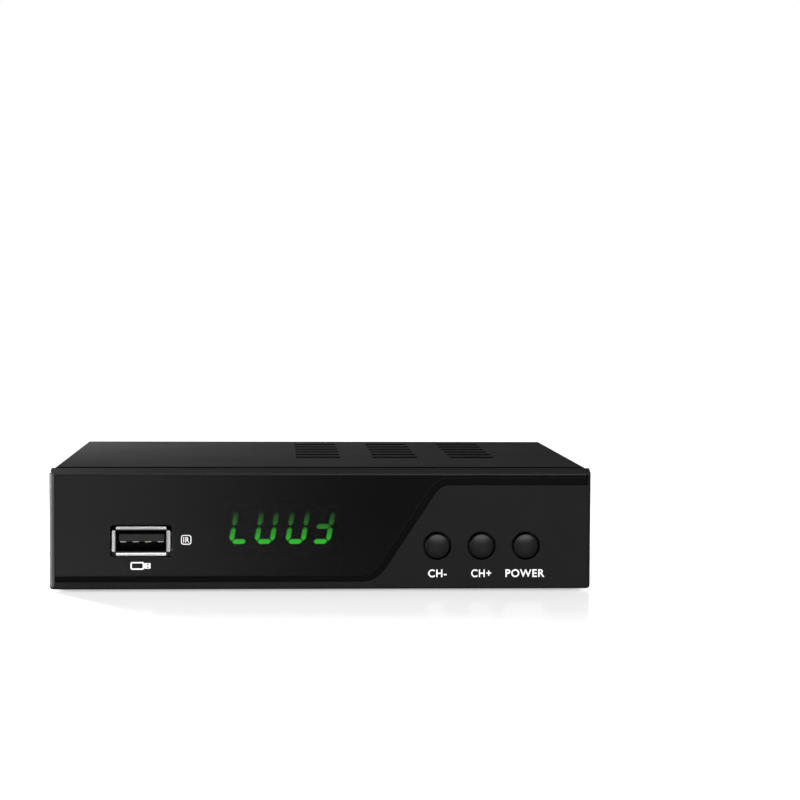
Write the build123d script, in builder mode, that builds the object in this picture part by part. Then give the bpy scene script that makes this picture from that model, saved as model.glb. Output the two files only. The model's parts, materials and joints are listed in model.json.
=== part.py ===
"""Compact satellite television receiver, modelled as the pieces it comes apart into.

Millimetres. +X is to the right of someone facing the front, the front faces -Y, +Z is up.
The origin lies under the middle of the whole footprint, sockets included, and Z = 0 is the
table under the rubber feet.
"""
from math import isclose, radians, sin, tan
import os

from build123d import *

os.makedirs("parts", exist_ok=True)

# ---------------------------------------------------------------- driving dimensions

# Case
BEZEL_WIDTH = 140.0
BEZEL_HEIGHT = 31.45
BODY_DEPTH = 90.0  # front face to the outer face of the rear wall
FOOT_HEIGHT = 1.6  # table to the underside of the chassis
BEZEL_OVERHANG = 1.0  # bezel proud of the sheet metal, at the sides and below
SHOULDER_DEPTH = 3.3  # slope between the front face and the seam with the cover
SHOULDER_DROP = 1.2
SEAM_STEP = 0.25  # cover proud of the shoulder
COVER_THICKNESS = 0.7
CHASSIS_THICKNESS = 0.8
SEAM_GAP = 0.3  # bezel to the front edge of the cover and chassis
SLIP_GAP = 0.1  # sheet metal that slides over sheet metal or plastic
REAR_WALL_GAP = 0.3  # top of the rear wall to the underside of the cover
FOLD_RADIUS = 0.9  # outside of a folded edge
RELIEF_WIDTH = 0.8  # notch that lets two folds meet at a corner
LIP_MARGIN = 3.0  # cover's rear lip below its screws
SOCKET_CLEARANCE = 0.5  # lip to the washers and collars of the rear sockets
FLANGE_HEIGHT = 11.0  # chassis side flanges

# Cooling slots
VENT_GROUPS = 3
VENT_ROWS = 6
VENT_GROUP_PITCH = 21.2
VENT_ROW_PITCH = 9.1
VENT_LENGTH = 12.2
VENT_WIDTH = 4.0
VENT_CENTRE_X = 20.9
VENT_CENTRE_DEPTH = 56.1  # behind the front face
FLOOR_VENT_COUNT = 9
FLOOR_VENT_PITCH = 6.0
FLOOR_VENT_LENGTH = 22.0
FLOOR_VENT_WIDTH = 2.4

# Rubber feet
FOOT_RADIUS = 5.5
FOOT_INSET_X = 12.0
FOOT_INSET_Y = 12.0
FOOT_CHAMFER = 0.3

# Bezel moulding
BEZEL_WALL = 3.0
SKIRT_THICKNESS = 1.5
SKIRT_DEPTH = 11.0  # front face to the rear edge of the skirt inside the cover
RIM_RADIUS = 1.4  # upright ends of the front face
CORNER_RADIUS = 0.75  # round the underside
BROW_RADIUS = 0.4  # round the shoulder
HOOK_WIDTH = 7.0
HOOK_DEPTH = 2.0
HOOK_REACH = 0.7
HOOK_CLEARANCE = 0.25
HOOK_SPREAD = 88.0  # between the two floor hooks
SIDE_HOOK_HEIGHT = 7.5  # above the table

# Smoked window and the groove round it, heights above the bezel's bottom edge
WINDOW_THICKNESS = 1.5
WINDOW_CLEARANCE = 0.1
WINDOW_BOTTOM = 3.35
WINDOW_STRIP = 1.05  # height of the sliver that runs on above the buttons
WINDOW_TOP_MARGIN = 0.25  # below the brow
WINDOW_STEP_X = 13.1  # foot of the slanting edge
WINDOW_SLANT = 56.5  # degrees from level
WINDOW_STEP_RADIUS = 6.0
WINDOW_EDGE_CHAMFER = 0.2
GROOVE_DEPTH = 0.8
GROOVE_BELOW = 1.45
GROOVE_ABOVE = 1.7
GROOVE_SLANT = 1.7
GROOVE_LOWER_RADIUS = 7.5
GROOVE_UPPER_RADIUS = 4.4
GROOVE_END = 0.5  # groove past the window's right end

# Push buttons
BUTTON_X = 41.45  # middle button
BUTTON_PITCH = 11.55
BUTTON_HEIGHT = 11.2  # above the bezel's bottom edge
BUTTON_HOLE_RADIUS = 3.65
BUTTON_RADIUS = 3.17
BUTTON_PROUD = 0.5
BUTTON_DOME = 0.25
BUTTON_RIM_CHAMFER = 0.25
BUTTON_TRAVEL = 0.5
BUTTON_FLANGE_RADIUS = 4.5
BUTTON_FLANGE_THICKNESS = 0.8
BUTTON_REST_GAP = 0.3  # flange to the back of the bezel wall
BUTTON_STEM_RADIUS = 1.9
BUTTON_KEY_WIDTH = 1.6
BUTTON_KEY_REACH = 1.6
KEY_CLEARANCE = 0.3
KEY_GUIDE_THICKNESS = 1.0
HOLE_CHAMFER = 0.3

# Front board and what it carries
FRONT_BOARD_DEPTH = 9.4  # front face of the bezel to the front of the board
BOARD_THICKNESS = 1.6
FRONT_BOARD_LEFT = -37.0
FRONT_BOARD_SIDE_GAP = 2.8  # right end to the inside of the bezel's skirt
FRONT_BOARD_BOTTOM = 5.0  # above the bezel's bottom edge
FRONT_BOARD_TOP = 25.4
SWITCH_SIDE = 6.0
SWITCH_HEIGHT = 3.5
SWITCH_TOTAL = 5.0  # board to the tip of the plunger
PLUNGER_RADIUS = 1.7
PLUNGER_CLEARANCE = 0.05
PLUNGER_SUNK = 1.4  # length of plunger inside the switch body at rest
SWITCH_FLOOR_GAP = 0.3
BOSS_RADIUS = 2.5
BOSS_POINTS = ((-32.6, 21.4), (14.6, 13.0))  # across, above the bezel's bottom edge
END_BOSS_INSET = 3.4  # from the board's right end
END_BOSS_HEIGHT = 20.6  # above the bezel's bottom edge

# Four-digit display
DISPLAY_X = -10.2
DISPLAY_CENTRE = 16.1  # above the bezel's bottom edge
DISPLAY_WIDTH = 30.1
DISPLAY_TALL = 14.0
DISPLAY_DEEP = 7.2
DISPLAY_CLEARANCE = 0.3
DIGIT_HEIGHT = 9.1
DIGIT_WIDTH = 5.2
DIGIT_PITCH = 6.55
COLON_SPACE = 1.45
DIGIT_SLANT = 9.8  # degrees
SEGMENT_WIDTH = 1.25
SEGMENT_GAP = 0.18
SEGMENT_DEPTH = 0.4

# Infrared receiver
IR_X = -30.2
IR_HEIGHT = 12.7  # above the bezel's bottom edge
IR_BODY_WIDTH = 6.0
IR_BODY_TALL = 7.0
IR_BODY_DEEP = 4.0
IR_LENS_RADIUS = 2.2
IR_LENS_TALL = 3.8
IR_LENS_REACH = 3.2
IR_HOLE_RADIUS = 2.8

# USB-A socket
USB_X = -46.5
USB_HEIGHT = 12.53  # centre, above the bezel's bottom edge
USB_OPENING_WIDTH = 15.8
USB_OPENING_TALL = 8.34
USB_OPENING_RADIUS = 0.75
USB_INNER_WIDTH = 12.5
USB_INNER_TALL = 5.12
USB_SHELL_THICKNESS = 0.3
USB_LIP_FLARE = 0.9
USB_LIP_DEPTH = 0.8
USB_LIP_INSET = 0.1  # shortens each lip so that the corners stay open
USB_LIP_CORNER = 0.35
USB_MOUTH_DEPTH = 0.4  # behind the front face
USB_LENGTH = 14.0
USB_TONGUE_WIDTH = 11.6
USB_TONGUE_THICKNESS = 1.84
USB_TONGUE_RISE = 0.62  # tongue's middle above the socket's middle
USB_TONGUE_SETBACK = 0.9
USB_BASE_DEPTH = 3.5
USB_CONTACTS = 4
USB_CONTACT_PITCH = 3.2
USB_CONTACT_WIDTH = 1.5
USB_CONTACT_THICKNESS = 0.3
USB_CONTACT_SETBACK = 1.2

# Main board
BOARD_SIDE_GAP = 5.4  # board to the chassis side flange
BOARD_FRONT_GAP = 0.9  # behind the front board
BOARD_TAB_RIGHT = -38.0  # the tab that reaches forward under the USB socket
BOARD_TAB_DEPTH = 5.5  # front face of the bezel to the front of the tab
BOARD_REAR_GAP = 0.6
STANDOFF_ACROSS_FLATS = 5.2
STANDOFF_SIDE_INSET = 5.0
STANDOFF_FRONT_INSET = 8.0
STANDOFF_TUNER_GAP = 5.0
STANDOFF_REAR_INSET = 7.0
SCREW_CLEARANCE = 0.2

CHIP_SIDE = 15.0
CHIP_HEIGHT = 1.4
CHIP_X = 4.0
CHIP_DEPTH = 46.0  # behind the front face
HEATSINK_SIDE = 22.0
HEATSINK_BASE = 1.6
HEATSINK_HEIGHT = 8.0
HEATSINK_FINS = 7
FIN_THICKNESS = 0.9
MEMORY_WIDTH = 9.0
MEMORY_LENGTH = 13.0
MEMORY_HEIGHT = 1.1
MEMORY_OFFSET = 22.0  # either side of the main chip
CRYSTAL_LENGTH = 11.0
CRYSTAL_WIDTH = 4.6
CRYSTAL_HEIGHT = 3.6
CRYSTAL_X = 26.0
CRYSTAL_DEPTH = 62.0
CAPACITOR_RADII = (4.0, 3.15, 2.5)
CAPACITOR_HEIGHTS = (11.5, 11.0, 7.0)
CAPACITOR_INSETS = (18.0, 10.0, 3.5)  # from the board's right edge
CAPACITOR_DEPTHS = (36.0, 46.0)
COIL_SIDE = 7.3
COIL_HEIGHT = 4.5
COIL_CORNER = 1.8
COIL_SPOTS = ((-30.0, 42.0), (44.0, 56.0))  # across, behind the front face
HEADER_WIDTH = 16.0
HEADER_DEEP = 5.0
HEADER_TALL = 6.0
HEADER_X = 22.0
HEADER_HEIGHT = 17.0  # lower face of the front board's header, above the bezel's bottom edge
MAIN_HEADER_DEPTH = 24.0  # front face to the middle of the main board's header
RIBBON_WIDTH = 12.7
RIBBON_THICKNESS = 0.9
RIBBON_RADIUS = 2.2

# Screws
SCREW_RADIUS = 1.45
SCREW_HEAD_RADIUS = 2.75
SCREW_HEAD_HEIGHT = 1.7
SIDE_HEAD_HEIGHT = 0.9
THREAD_CLEARANCE = 0.05
SCREW_LENGTH = 6.0
SHORT_SCREW_LENGTH = 4.0
REAR_SCREW_SPREAD = 58.0
REAR_SCREW_DROP = 2.3  # below the inside of the cover's top

# Tuner and aerial sockets
TUNER_X = -41.0
TUNER_WIDTH = 38.0
TUNER_DEPTH = 24.0
TUNER_HEIGHT = 14.5
TUNER_WALL = 0.4
TUNER_LID_SKIRT = 4.0
LNB_PITCH = 18.0
LNB_REACH = 11.0  # past the rear wall
LNB_THREAD_RADIUS = 4.76
LNB_NECK_RADIUS = 4.6
LNB_FLANGE_RADIUS = 6.2
LNB_FLANGE_THICKNESS = 1.0
LNB_BORE_RADIUS = 2.9
LNB_CONTACT_RADIUS = 0.75
LNB_HOLE_CLEARANCE = 0.3
WASHER_RADIUS = 6.6
WASHER_THICKNESS = 0.6
NUT_ACROSS_FLATS = 11.1
NUT_THICKNESS = 2.2

# Digital video socket
VIDEO_X = -11.0
VIDEO_WIDTH = 15.0
VIDEO_TALL = 5.6
VIDEO_LOWER_WIDTH = 11.4
VIDEO_SHOULDER = 3.4  # height of the full-width part
VIDEO_SHELL_THICKNESS = 0.35
VIDEO_LENGTH = 11.5
VIDEO_REACH = 0.8
VIDEO_LIFT = 0.5  # shell above the board
VIDEO_TONGUE_WIDTH = 11.0
VIDEO_TONGUE_THICKNESS = 1.1
VIDEO_CUT_CLEARANCE = 0.35

# Phono sockets
AV_X = 20.0
AV_PITCH = 14.0
AV_CENTRE = 8.2  # above the main board
AV_BLOCK_HEIGHT = 14.0
AV_BLOCK_DEPTH = 11.0
AV_COLLAR_RADIUS = 5.1
AV_COLLAR_REACH = 1.6
AV_SLEEVE_RADIUS = 4.15
AV_NECK_RADIUS = 3.9
AV_SLEEVE_WALL = 0.75
AV_REACH = 9.6
AV_BORE_RADIUS = 1.6
AV_HOLE_CLEARANCE = 0.2

# Power socket
POWER_X = 55.5
POWER_WIDTH = 9.0
POWER_HEIGHT = 11.0
POWER_LENGTH = 14.0
POWER_CENTRE = 6.4  # above the main board
POWER_BORE_RADIUS = 3.1
POWER_BORE_DEPTH = 9.0
POWER_PIN_RADIUS = 1.0
POWER_PIN_SETBACK = 0.6
POWER_RIM_RADIUS = 3.9
POWER_RIM_CLEARANCE = 0.2

# ---------------------------------------------------------------- levels and planes worked out from them

front_y = -(BODY_DEPTH + LNB_REACH - BUTTON_PROUD) / 2
rear_y = front_y + BODY_DEPTH
bezel_bottom = FOOT_HEIGHT - BEZEL_OVERHANG
body_top = bezel_bottom + BEZEL_HEIGHT
shoulder_top = body_top - SEAM_STEP
brow_z = shoulder_top - SHOULDER_DROP
floor_bottom = FOOT_HEIGHT
floor_top = floor_bottom + CHASSIS_THICKNESS
metal_front = front_y + SHOULDER_DEPTH + SEAM_GAP

cover_half = BEZEL_WIDTH / 2 - BEZEL_OVERHANG
cover_inner_half = cover_half - COVER_THICKNESS
cover_inner_top = body_top - COVER_THICKNESS
cover_inner_rear = rear_y + SLIP_GAP
cover_rear = cover_inner_rear + COVER_THICKNESS
chassis_half = cover_inner_half - SLIP_GAP
chassis_inner_half = chassis_half - CHASSIS_THICKNESS
chassis_top = cover_inner_top - REAR_WALL_GAP
rear_wall_front = rear_y - CHASSIS_THICKNESS

skirt_half = chassis_inner_half - SLIP_GAP
skirt_bottom = floor_top + SLIP_GAP
skirt_top = cover_inner_top - SLIP_GAP
wall_back = front_y + BEZEL_WALL

usb_z = bezel_bottom + USB_HEIGHT
usb_outer_half_width = USB_INNER_WIDTH / 2 + USB_SHELL_THICKNESS
usb_outer_half_tall = USB_INNER_TALL / 2 + USB_SHELL_THICKNESS
board_top = usb_z - usb_outer_half_tall
board_bottom = board_top - BOARD_THICKNESS
front_board_y = front_y + FRONT_BOARD_DEPTH
board_half = chassis_inner_half - BOARD_SIDE_GAP
board_front = front_board_y + BOARD_THICKNESS + BOARD_FRONT_GAP
board_rear = rear_wall_front - BOARD_REAR_GAP
button_z = bezel_bottom + BUTTON_HEIGHT
button_xs = [BUTTON_X + step * BUTTON_PITCH for step in (-1, 0, 1)]
front_board_right = skirt_half - SKIRT_THICKNESS - FRONT_BOARD_SIDE_GAP
boss_spots = [(x, bezel_bottom + height) for x, height in BOSS_POINTS]
boss_spots.append((front_board_right - END_BOSS_INSET, bezel_bottom + END_BOSS_HEIGHT))

lnb_xs = [TUNER_X - LNB_PITCH / 2, TUNER_X + LNB_PITCH / 2]
lnb_z = board_top + TUNER_HEIGHT / 2
tuner_rear = rear_wall_front - LNB_FLANGE_THICKNESS
av_xs = [AV_X - AV_PITCH, AV_X, AV_X + AV_PITCH]
av_left = AV_X - len(av_xs) * AV_PITCH / 2
av_right = AV_X + len(av_xs) * AV_PITCH / 2
av_z = board_top + AV_CENTRE
power_z = board_top + POWER_CENTRE
video_bottom = board_top + VIDEO_LIFT

tuner_front = tuner_rear - TUNER_DEPTH
foot_spots = [(side * (chassis_half - FOOT_INSET_X), y) for side in (-1, 1)
              for y in (metal_front + FOOT_INSET_Y, rear_y - FOOT_INSET_Y)]
standoff_side = board_half - STANDOFF_SIDE_INSET
standoff_spots = [
    (-standoff_side, board_front + STANDOFF_FRONT_INSET),
    (standoff_side, board_front + STANDOFF_FRONT_INSET),
    (-standoff_side, tuner_front - STANDOFF_TUNER_GAP),
    ((av_right + POWER_X - POWER_WIDTH / 2) / 2, board_rear - STANDOFF_REAR_INSET),
]

rear_screw_z = cover_inner_top - REAR_SCREW_DROP
lip_bottom = rear_screw_z - LIP_MARGIN
rear_screw_xs = [-REAR_SCREW_SPREAD, 0, REAR_SCREW_SPREAD]
side_screw_y = (metal_front + rear_y) / 2
side_screw_z = floor_bottom + FLANGE_HEIGHT / 2


def upright(y):
    """Upright sketch plane at y: x across, y up. A negative extrusion runs to the rear."""
    return Plane.XZ.offset(-y)


def front_rectangle(left, right, bottom, top):
    """Rectangle on the current sketch plane, given by its four sides."""
    with Locations(((left + right) / 2, (bottom + top) / 2)):
        return Rectangle(right - left, top - bottom)


# ---------------------------------------------------------------- sheet metal

with BuildPart() as top_cover:
    with BuildSketch(Plane.XY.offset(floor_bottom)):
        front_rectangle(-cover_half, cover_half, metal_front, cover_rear)
    extrude(amount=body_top - floor_bottom)
    top_edges = top_cover.edges().group_by(Axis.Z)[-1]
    fillet(top_edges.filter_by(Axis.Y) + [top_edges.filter_by(Axis.X).sort_by(Axis.Y)[-1]], FOLD_RADIUS)
    open_faces = [top_cover.faces().sort_by(Axis.Y)[0], top_cover.faces().sort_by(Axis.Z)[0]]
    offset(amount=-COVER_THICKNESS, openings=open_faces)
    # the lip is open below and clears the sockets' washers and collars
    with BuildSketch(upright(cover_inner_rear)):
        front_rectangle(-cover_inner_half, cover_inner_half, floor_bottom, lip_bottom)
        with Locations(*[(x, lnb_z) for x in lnb_xs]):
            Circle(WASHER_RADIUS + SOCKET_CLEARANCE)
        with Locations(*[(x, av_z) for x in av_xs]):
            Circle(AV_COLLAR_RADIUS + SOCKET_CLEARANCE)
    extrude(amount=-COVER_THICKNESS, mode=Mode.SUBTRACT)
    # notches at both ends of the lip
    with BuildSketch(upright(cover_inner_rear)):
        for side in (-1, 1):
            with Locations((side * (cover_inner_half - RELIEF_WIDTH / 2), body_top - FOLD_RADIUS)):
                Rectangle(RELIEF_WIDTH, body_top - lip_bottom, align=(Align.CENTER, Align.MAX))
    extrude(amount=-COVER_THICKNESS, mode=Mode.SUBTRACT)
    # cooling slots
    with BuildSketch(Plane.XY.offset(body_top)):
        with Locations((VENT_CENTRE_X, front_y + VENT_CENTRE_DEPTH)):
            with GridLocations(VENT_GROUP_PITCH, VENT_ROW_PITCH, VENT_GROUPS, VENT_ROWS):
                Rectangle(VENT_LENGTH, VENT_WIDTH)
    extrude(amount=-COVER_THICKNESS, mode=Mode.SUBTRACT)
    # screw holes in the lip
    with BuildSketch(upright(cover_inner_rear)):
        with Locations(*[(x, rear_screw_z) for x in rear_screw_xs]):
            Circle(SCREW_RADIUS + SCREW_CLEARANCE)
    extrude(amount=-COVER_THICKNESS, mode=Mode.SUBTRACT)
    # screw holes in the sides
    with BuildSketch(Plane.YZ.offset(-cover_half)):
        with Locations((side_screw_y, side_screw_z)):
            Circle(SCREW_RADIUS + SCREW_CLEARANCE)
    extrude(amount=2 * cover_half, mode=Mode.SUBTRACT)

with BuildPart() as bottom_chassis:
    with BuildSketch(Plane.XY.offset(floor_bottom)):
        front_rectangle(-chassis_half, chassis_half, metal_front, rear_y)
    extrude(amount=chassis_top - floor_bottom)
    low_edges = bottom_chassis.edges().group_by(Axis.Z)[0]
    fillet(low_edges.filter_by(Axis.Y) + [low_edges.filter_by(Axis.X).sort_by(Axis.Y)[-1]], FOLD_RADIUS)
    open_faces = [bottom_chassis.faces().sort_by(Axis.Y)[0], bottom_chassis.faces().sort_by(Axis.Z)[-1]]
    offset(amount=-CHASSIS_THICKNESS, openings=open_faces)
    # cut down to the side flanges, with a relief at the rear corners
    with BuildSketch(Plane.YZ.offset(-chassis_half)):
        front_rectangle(metal_front, rear_wall_front, floor_bottom + FLANGE_HEIGHT, chassis_top)
        front_rectangle(rear_wall_front - RELIEF_WIDTH, rear_wall_front,
                        floor_bottom + FOLD_RADIUS, floor_bottom + FLANGE_HEIGHT)
    extrude(amount=2 * chassis_half, mode=Mode.SUBTRACT)
    # floor slots and the holes for the floor hooks
    with BuildSketch(Plane.XY.offset(floor_bottom)):
        with Locations((0, (metal_front + rear_y) / 2)):
            with GridLocations(FLOOR_VENT_PITCH, 0, FLOOR_VENT_COUNT, 1):
                Rectangle(FLOOR_VENT_WIDTH, FLOOR_VENT_LENGTH)
        for side in (-1, 1):
            with Locations((side * HOOK_SPREAD / 2, wall_back + SKIRT_DEPTH - BEZEL_WALL - HOOK_DEPTH)):
                Rectangle(HOOK_WIDTH + 2 * HOOK_CLEARANCE, HOOK_DEPTH + 2 * HOOK_CLEARANCE)
    extrude(amount=CHASSIS_THICKNESS, mode=Mode.SUBTRACT)
    # holes for the side hooks and screws
    with BuildSketch(Plane.YZ.offset(-chassis_half)):
        with Locations((wall_back + SKIRT_DEPTH - BEZEL_WALL - HOOK_DEPTH, SIDE_HOOK_HEIGHT)):
            Rectangle(HOOK_DEPTH + 2 * HOOK_CLEARANCE, HOOK_WIDTH + 2 * HOOK_CLEARANCE)
        with Locations((side_screw_y, side_screw_z)):
            Circle(SCREW_RADIUS + THREAD_CLEARANCE)
    extrude(amount=2 * chassis_half, mode=Mode.SUBTRACT)
    # openings for the sockets
    with BuildSketch(upright(rear_wall_front)):
        with Locations(*[(x, lnb_z) for x in lnb_xs]):
            Circle(LNB_THREAD_RADIUS + LNB_HOLE_CLEARANCE)
        with Locations(*[(x, av_z) for x in av_xs]):
            Circle(AV_COLLAR_RADIUS + AV_HOLE_CLEARANCE)
        with Locations((POWER_X, power_z)):
            Circle(POWER_RIM_RADIUS + POWER_RIM_CLEARANCE)
        with Locations((VIDEO_X, video_bottom + VIDEO_TALL / 2)):
            Rectangle(VIDEO_WIDTH + 2 * VIDEO_CUT_CLEARANCE, VIDEO_TALL + 2 * VIDEO_CUT_CLEARANCE)
        with Locations(*[(x, rear_screw_z) for x in rear_screw_xs]):
            Circle(SCREW_RADIUS + THREAD_CLEARANCE)
    extrude(amount=-CHASSIS_THICKNESS, mode=Mode.SUBTRACT)

with BuildPart() as rubber_feet:
    with BuildSketch():
        with Locations(*foot_spots):
            Circle(FOOT_RADIUS)
    extrude(amount=FOOT_HEIGHT)
    chamfer(rubber_feet.edges().group_by(Axis.Z)[0], FOOT_CHAMFER)


# ---------------------------------------------------------------- front bezel and window

slant_run = 1 / tan(radians(WINDOW_SLANT))  # level distance per millimetre of height on the slanting edge
window_left = -BEZEL_WIDTH / 2 + RIM_RADIUS
window_right = BEZEL_WIDTH / 2 - RIM_RADIUS
window_bottom = bezel_bottom + WINDOW_BOTTOM
window_top = brow_z - WINDOW_TOP_MARGIN
window_step = window_top - WINDOW_STRIP
groove_step_x = WINDOW_STEP_X + GROOVE_SLANT / sin(radians(WINDOW_SLANT)) - GROOVE_BELOW * slant_run


def stepped_field(left, right, bottom, step, top, foot_x, lower_radius, upper_radius):
    """Outline that is full height on the left and climbs in an S to a narrow strip on the right."""
    climb = foot_x + (step - bottom) * slant_run
    edge = FilletPolyline((left, bottom), (foot_x, bottom), (climb, step), (right, step),
                          radius=[lower_radius, upper_radius])
    Polyline(edge @ 1, (right, top), (left, top), edge @ 0)


with BuildPart() as front_bezel:
    with BuildSketch(Plane.YZ.offset(-BEZEL_WIDTH / 2)):
        with BuildLine():
            Polyline((front_y, bezel_bottom), (front_y, brow_z), (front_y + SHOULDER_DEPTH, shoulder_top),
                     (front_y + SHOULDER_DEPTH, bezel_bottom), close=True)
        make_face()
    extrude(amount=BEZEL_WIDTH)
    fillet(front_bezel.edges().filter_by(Axis.Z).group_by(Axis.Y)[0], RIM_RADIUS)
    underside = front_bezel.faces().sort_by(Axis.Z)[0]
    fillet(underside.edges() - underside.edges().group_by(Axis.Y)[-1], CORNER_RADIUS)
    shoulder = front_bezel.faces().sort_by(Axis.Z)[-1]
    fillet(shoulder.edges() - shoulder.edges().group_by(Axis.Y)[-1], BROW_RADIUS)
    # skirt that slips inside the cover and rests on the chassis floor
    with BuildSketch(upright(wall_back)):
        front_rectangle(-skirt_half, skirt_half, skirt_bottom, skirt_top)
    extrude(amount=-(SKIRT_DEPTH - BEZEL_WALL))
    with BuildSketch(upright(wall_back)):
        front_rectangle(-skirt_half + SKIRT_THICKNESS, skirt_half - SKIRT_THICKNESS,
                        skirt_bottom + SKIRT_THICKNESS, skirt_top - SKIRT_THICKNESS)
    extrude(amount=-(SKIRT_DEPTH - BEZEL_WALL), mode=Mode.SUBTRACT)
    # groove round the window, then the window's own pocket
    with BuildSketch(upright(front_y)):
        with BuildLine():
            stepped_field(window_left, window_right + GROOVE_END,
                          window_bottom - GROOVE_BELOW, window_step - GROOVE_ABOVE, window_top,
                          groove_step_x, GROOVE_LOWER_RADIUS, GROOVE_UPPER_RADIUS)
        make_face()
    extrude(amount=-GROOVE_DEPTH, mode=Mode.SUBTRACT)
    with BuildSketch(upright(front_y)):
        with BuildLine():
            stepped_field(window_left, window_right, window_bottom, window_step, window_top,
                          WINDOW_STEP_X, WINDOW_STEP_RADIUS, WINDOW_STEP_RADIUS)
        make_face()
    extrude(amount=-WINDOW_THICKNESS, mode=Mode.SUBTRACT)
    # openings through the wall
    with BuildSketch(upright(front_y)):
        with Locations((USB_X, usb_z)):
            RectangleRounded(USB_OPENING_WIDTH, USB_OPENING_TALL, USB_OPENING_RADIUS)
        with Locations((DISPLAY_X, bezel_bottom + DISPLAY_CENTRE)):
            Rectangle(DISPLAY_WIDTH + 2 * DISPLAY_CLEARANCE, DISPLAY_TALL + 2 * DISPLAY_CLEARANCE)
        with Locations((IR_X, bezel_bottom + IR_HEIGHT)):
            Circle(IR_HOLE_RADIUS)
        with Locations(*[(x, button_z) for x in button_xs]):
            Circle(BUTTON_HOLE_RADIUS)
    extrude(amount=-BEZEL_WALL, mode=Mode.SUBTRACT)
    hole_rims = front_bezel.edges().filter_by(GeomType.CIRCLE).group_by(Axis.Y)[0]
    chamfer([rim for rim in hole_rims if isclose(rim.radius, BUTTON_HOLE_RADIUS)], HOLE_CHAMFER)
    # screw bosses for the front board
    with BuildSketch(upright(wall_back)):
        with Locations(*boss_spots):
            Circle(BOSS_RADIUS)
    extrude(amount=-(FRONT_BOARD_DEPTH - BEZEL_WALL))
    with BuildSketch(upright(front_board_y)):
        with Locations(*boss_spots):
            Circle(SCREW_RADIUS + THREAD_CLEARANCE)
    extrude(amount=FRONT_BOARD_DEPTH - BEZEL_WALL, mode=Mode.SUBTRACT)
    # key guides either side of each button's flange
    with BuildSketch(upright(wall_back)):
        for x in button_xs:
            for side in (-1, 1):
                with Locations((x + side * (BUTTON_KEY_WIDTH / 2 + KEY_CLEARANCE),
                                button_z - BUTTON_FLANGE_RADIUS - KEY_CLEARANCE)):
                    Rectangle(KEY_GUIDE_THICKNESS, BUTTON_KEY_REACH,
                              align=(Align.MIN if side > 0 else Align.MAX, Align.MAX))
    extrude(amount=-(BUTTON_REST_GAP + BUTTON_FLANGE_THICKNESS + BUTTON_TRAVEL))
    # snap hooks on the skirt: two into the floor, one into each side flange
    hook_y = wall_back + SKIRT_DEPTH - BEZEL_WALL - HOOK_DEPTH
    for x in (-HOOK_SPREAD / 2, HOOK_SPREAD / 2):
        with BuildSketch(Plane.YZ.offset(x - HOOK_WIDTH / 2)):
            with BuildLine():
                Polyline((hook_y - HOOK_DEPTH / 2, skirt_bottom), (hook_y + HOOK_DEPTH / 2, skirt_bottom),
                         (hook_y - HOOK_DEPTH / 2, skirt_bottom - HOOK_REACH), close=True)
            make_face()
        extrude(amount=HOOK_WIDTH)
    with BuildSketch(Plane.XY.offset(SIDE_HOOK_HEIGHT - HOOK_WIDTH / 2)):
        for side in (-1, 1):
            with BuildLine():
                Polyline((side * skirt_half, hook_y - HOOK_DEPTH / 2),
                         (side * skirt_half, hook_y + HOOK_DEPTH / 2),
                         (side * (skirt_half + HOOK_REACH), hook_y - HOOK_DEPTH / 2), close=True)
            make_face()
    extrude(amount=HOOK_WIDTH)

with BuildPart() as display_window:
    with BuildSketch(upright(front_y)):
        with BuildLine():
            stepped_field(window_left + WINDOW_CLEARANCE, window_right - WINDOW_CLEARANCE,
                          window_bottom + WINDOW_CLEARANCE, window_step + WINDOW_CLEARANCE,
                          window_top - WINDOW_CLEARANCE,
                          WINDOW_STEP_X - WINDOW_CLEARANCE * tan(radians(WINDOW_SLANT / 2)),
                          WINDOW_STEP_RADIUS - WINDOW_CLEARANCE, WINDOW_STEP_RADIUS + WINDOW_CLEARANCE)
        make_face()
        with Locations((USB_X, usb_z)):
            RectangleRounded(USB_OPENING_WIDTH, USB_OPENING_TALL, USB_OPENING_RADIUS, mode=Mode.SUBTRACT)
    extrude(amount=-WINDOW_THICKNESS)
    chamfer(display_window.faces().sort_by(Axis.Y)[0].edges(), WINDOW_EDGE_CHAMFER)


# ---------------------------------------------------------------- screws

def round_head_screws(planes, length, head_height=SCREW_HEAD_HEIGHT):
    """One screw on each plane, its head standing on the plane and its shank going the other way."""
    with BuildPart() as one_screw:
        with BuildSketch(Plane.XZ):
            with BuildLine():
                Polyline((0, -length), (SCREW_RADIUS, -length), (SCREW_RADIUS, 0), (SCREW_HEAD_RADIUS, 0),
                         (SCREW_HEAD_RADIUS, head_height), (0, head_height), close=True)
            make_face()
        revolve(axis=Axis.Z)
    with BuildPart() as screws:
        with Locations(*planes):
            add(one_screw.part)
    return screws


# ---------------------------------------------------------------- push buttons and their switches

cap_front = front_y - BUTTON_PROUD
dome_half = BUTTON_RADIUS - BUTTON_RIM_CHAMFER
dome_radius = (dome_half ** 2 + BUTTON_DOME ** 2) / (2 * BUTTON_DOME)
flange_front = wall_back + BUTTON_REST_GAP
flange_back = flange_front + BUTTON_FLANGE_THICKNESS
plunger_tip = front_board_y - SWITCH_TOTAL
switch_front = front_board_y - SWITCH_HEIGHT


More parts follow.
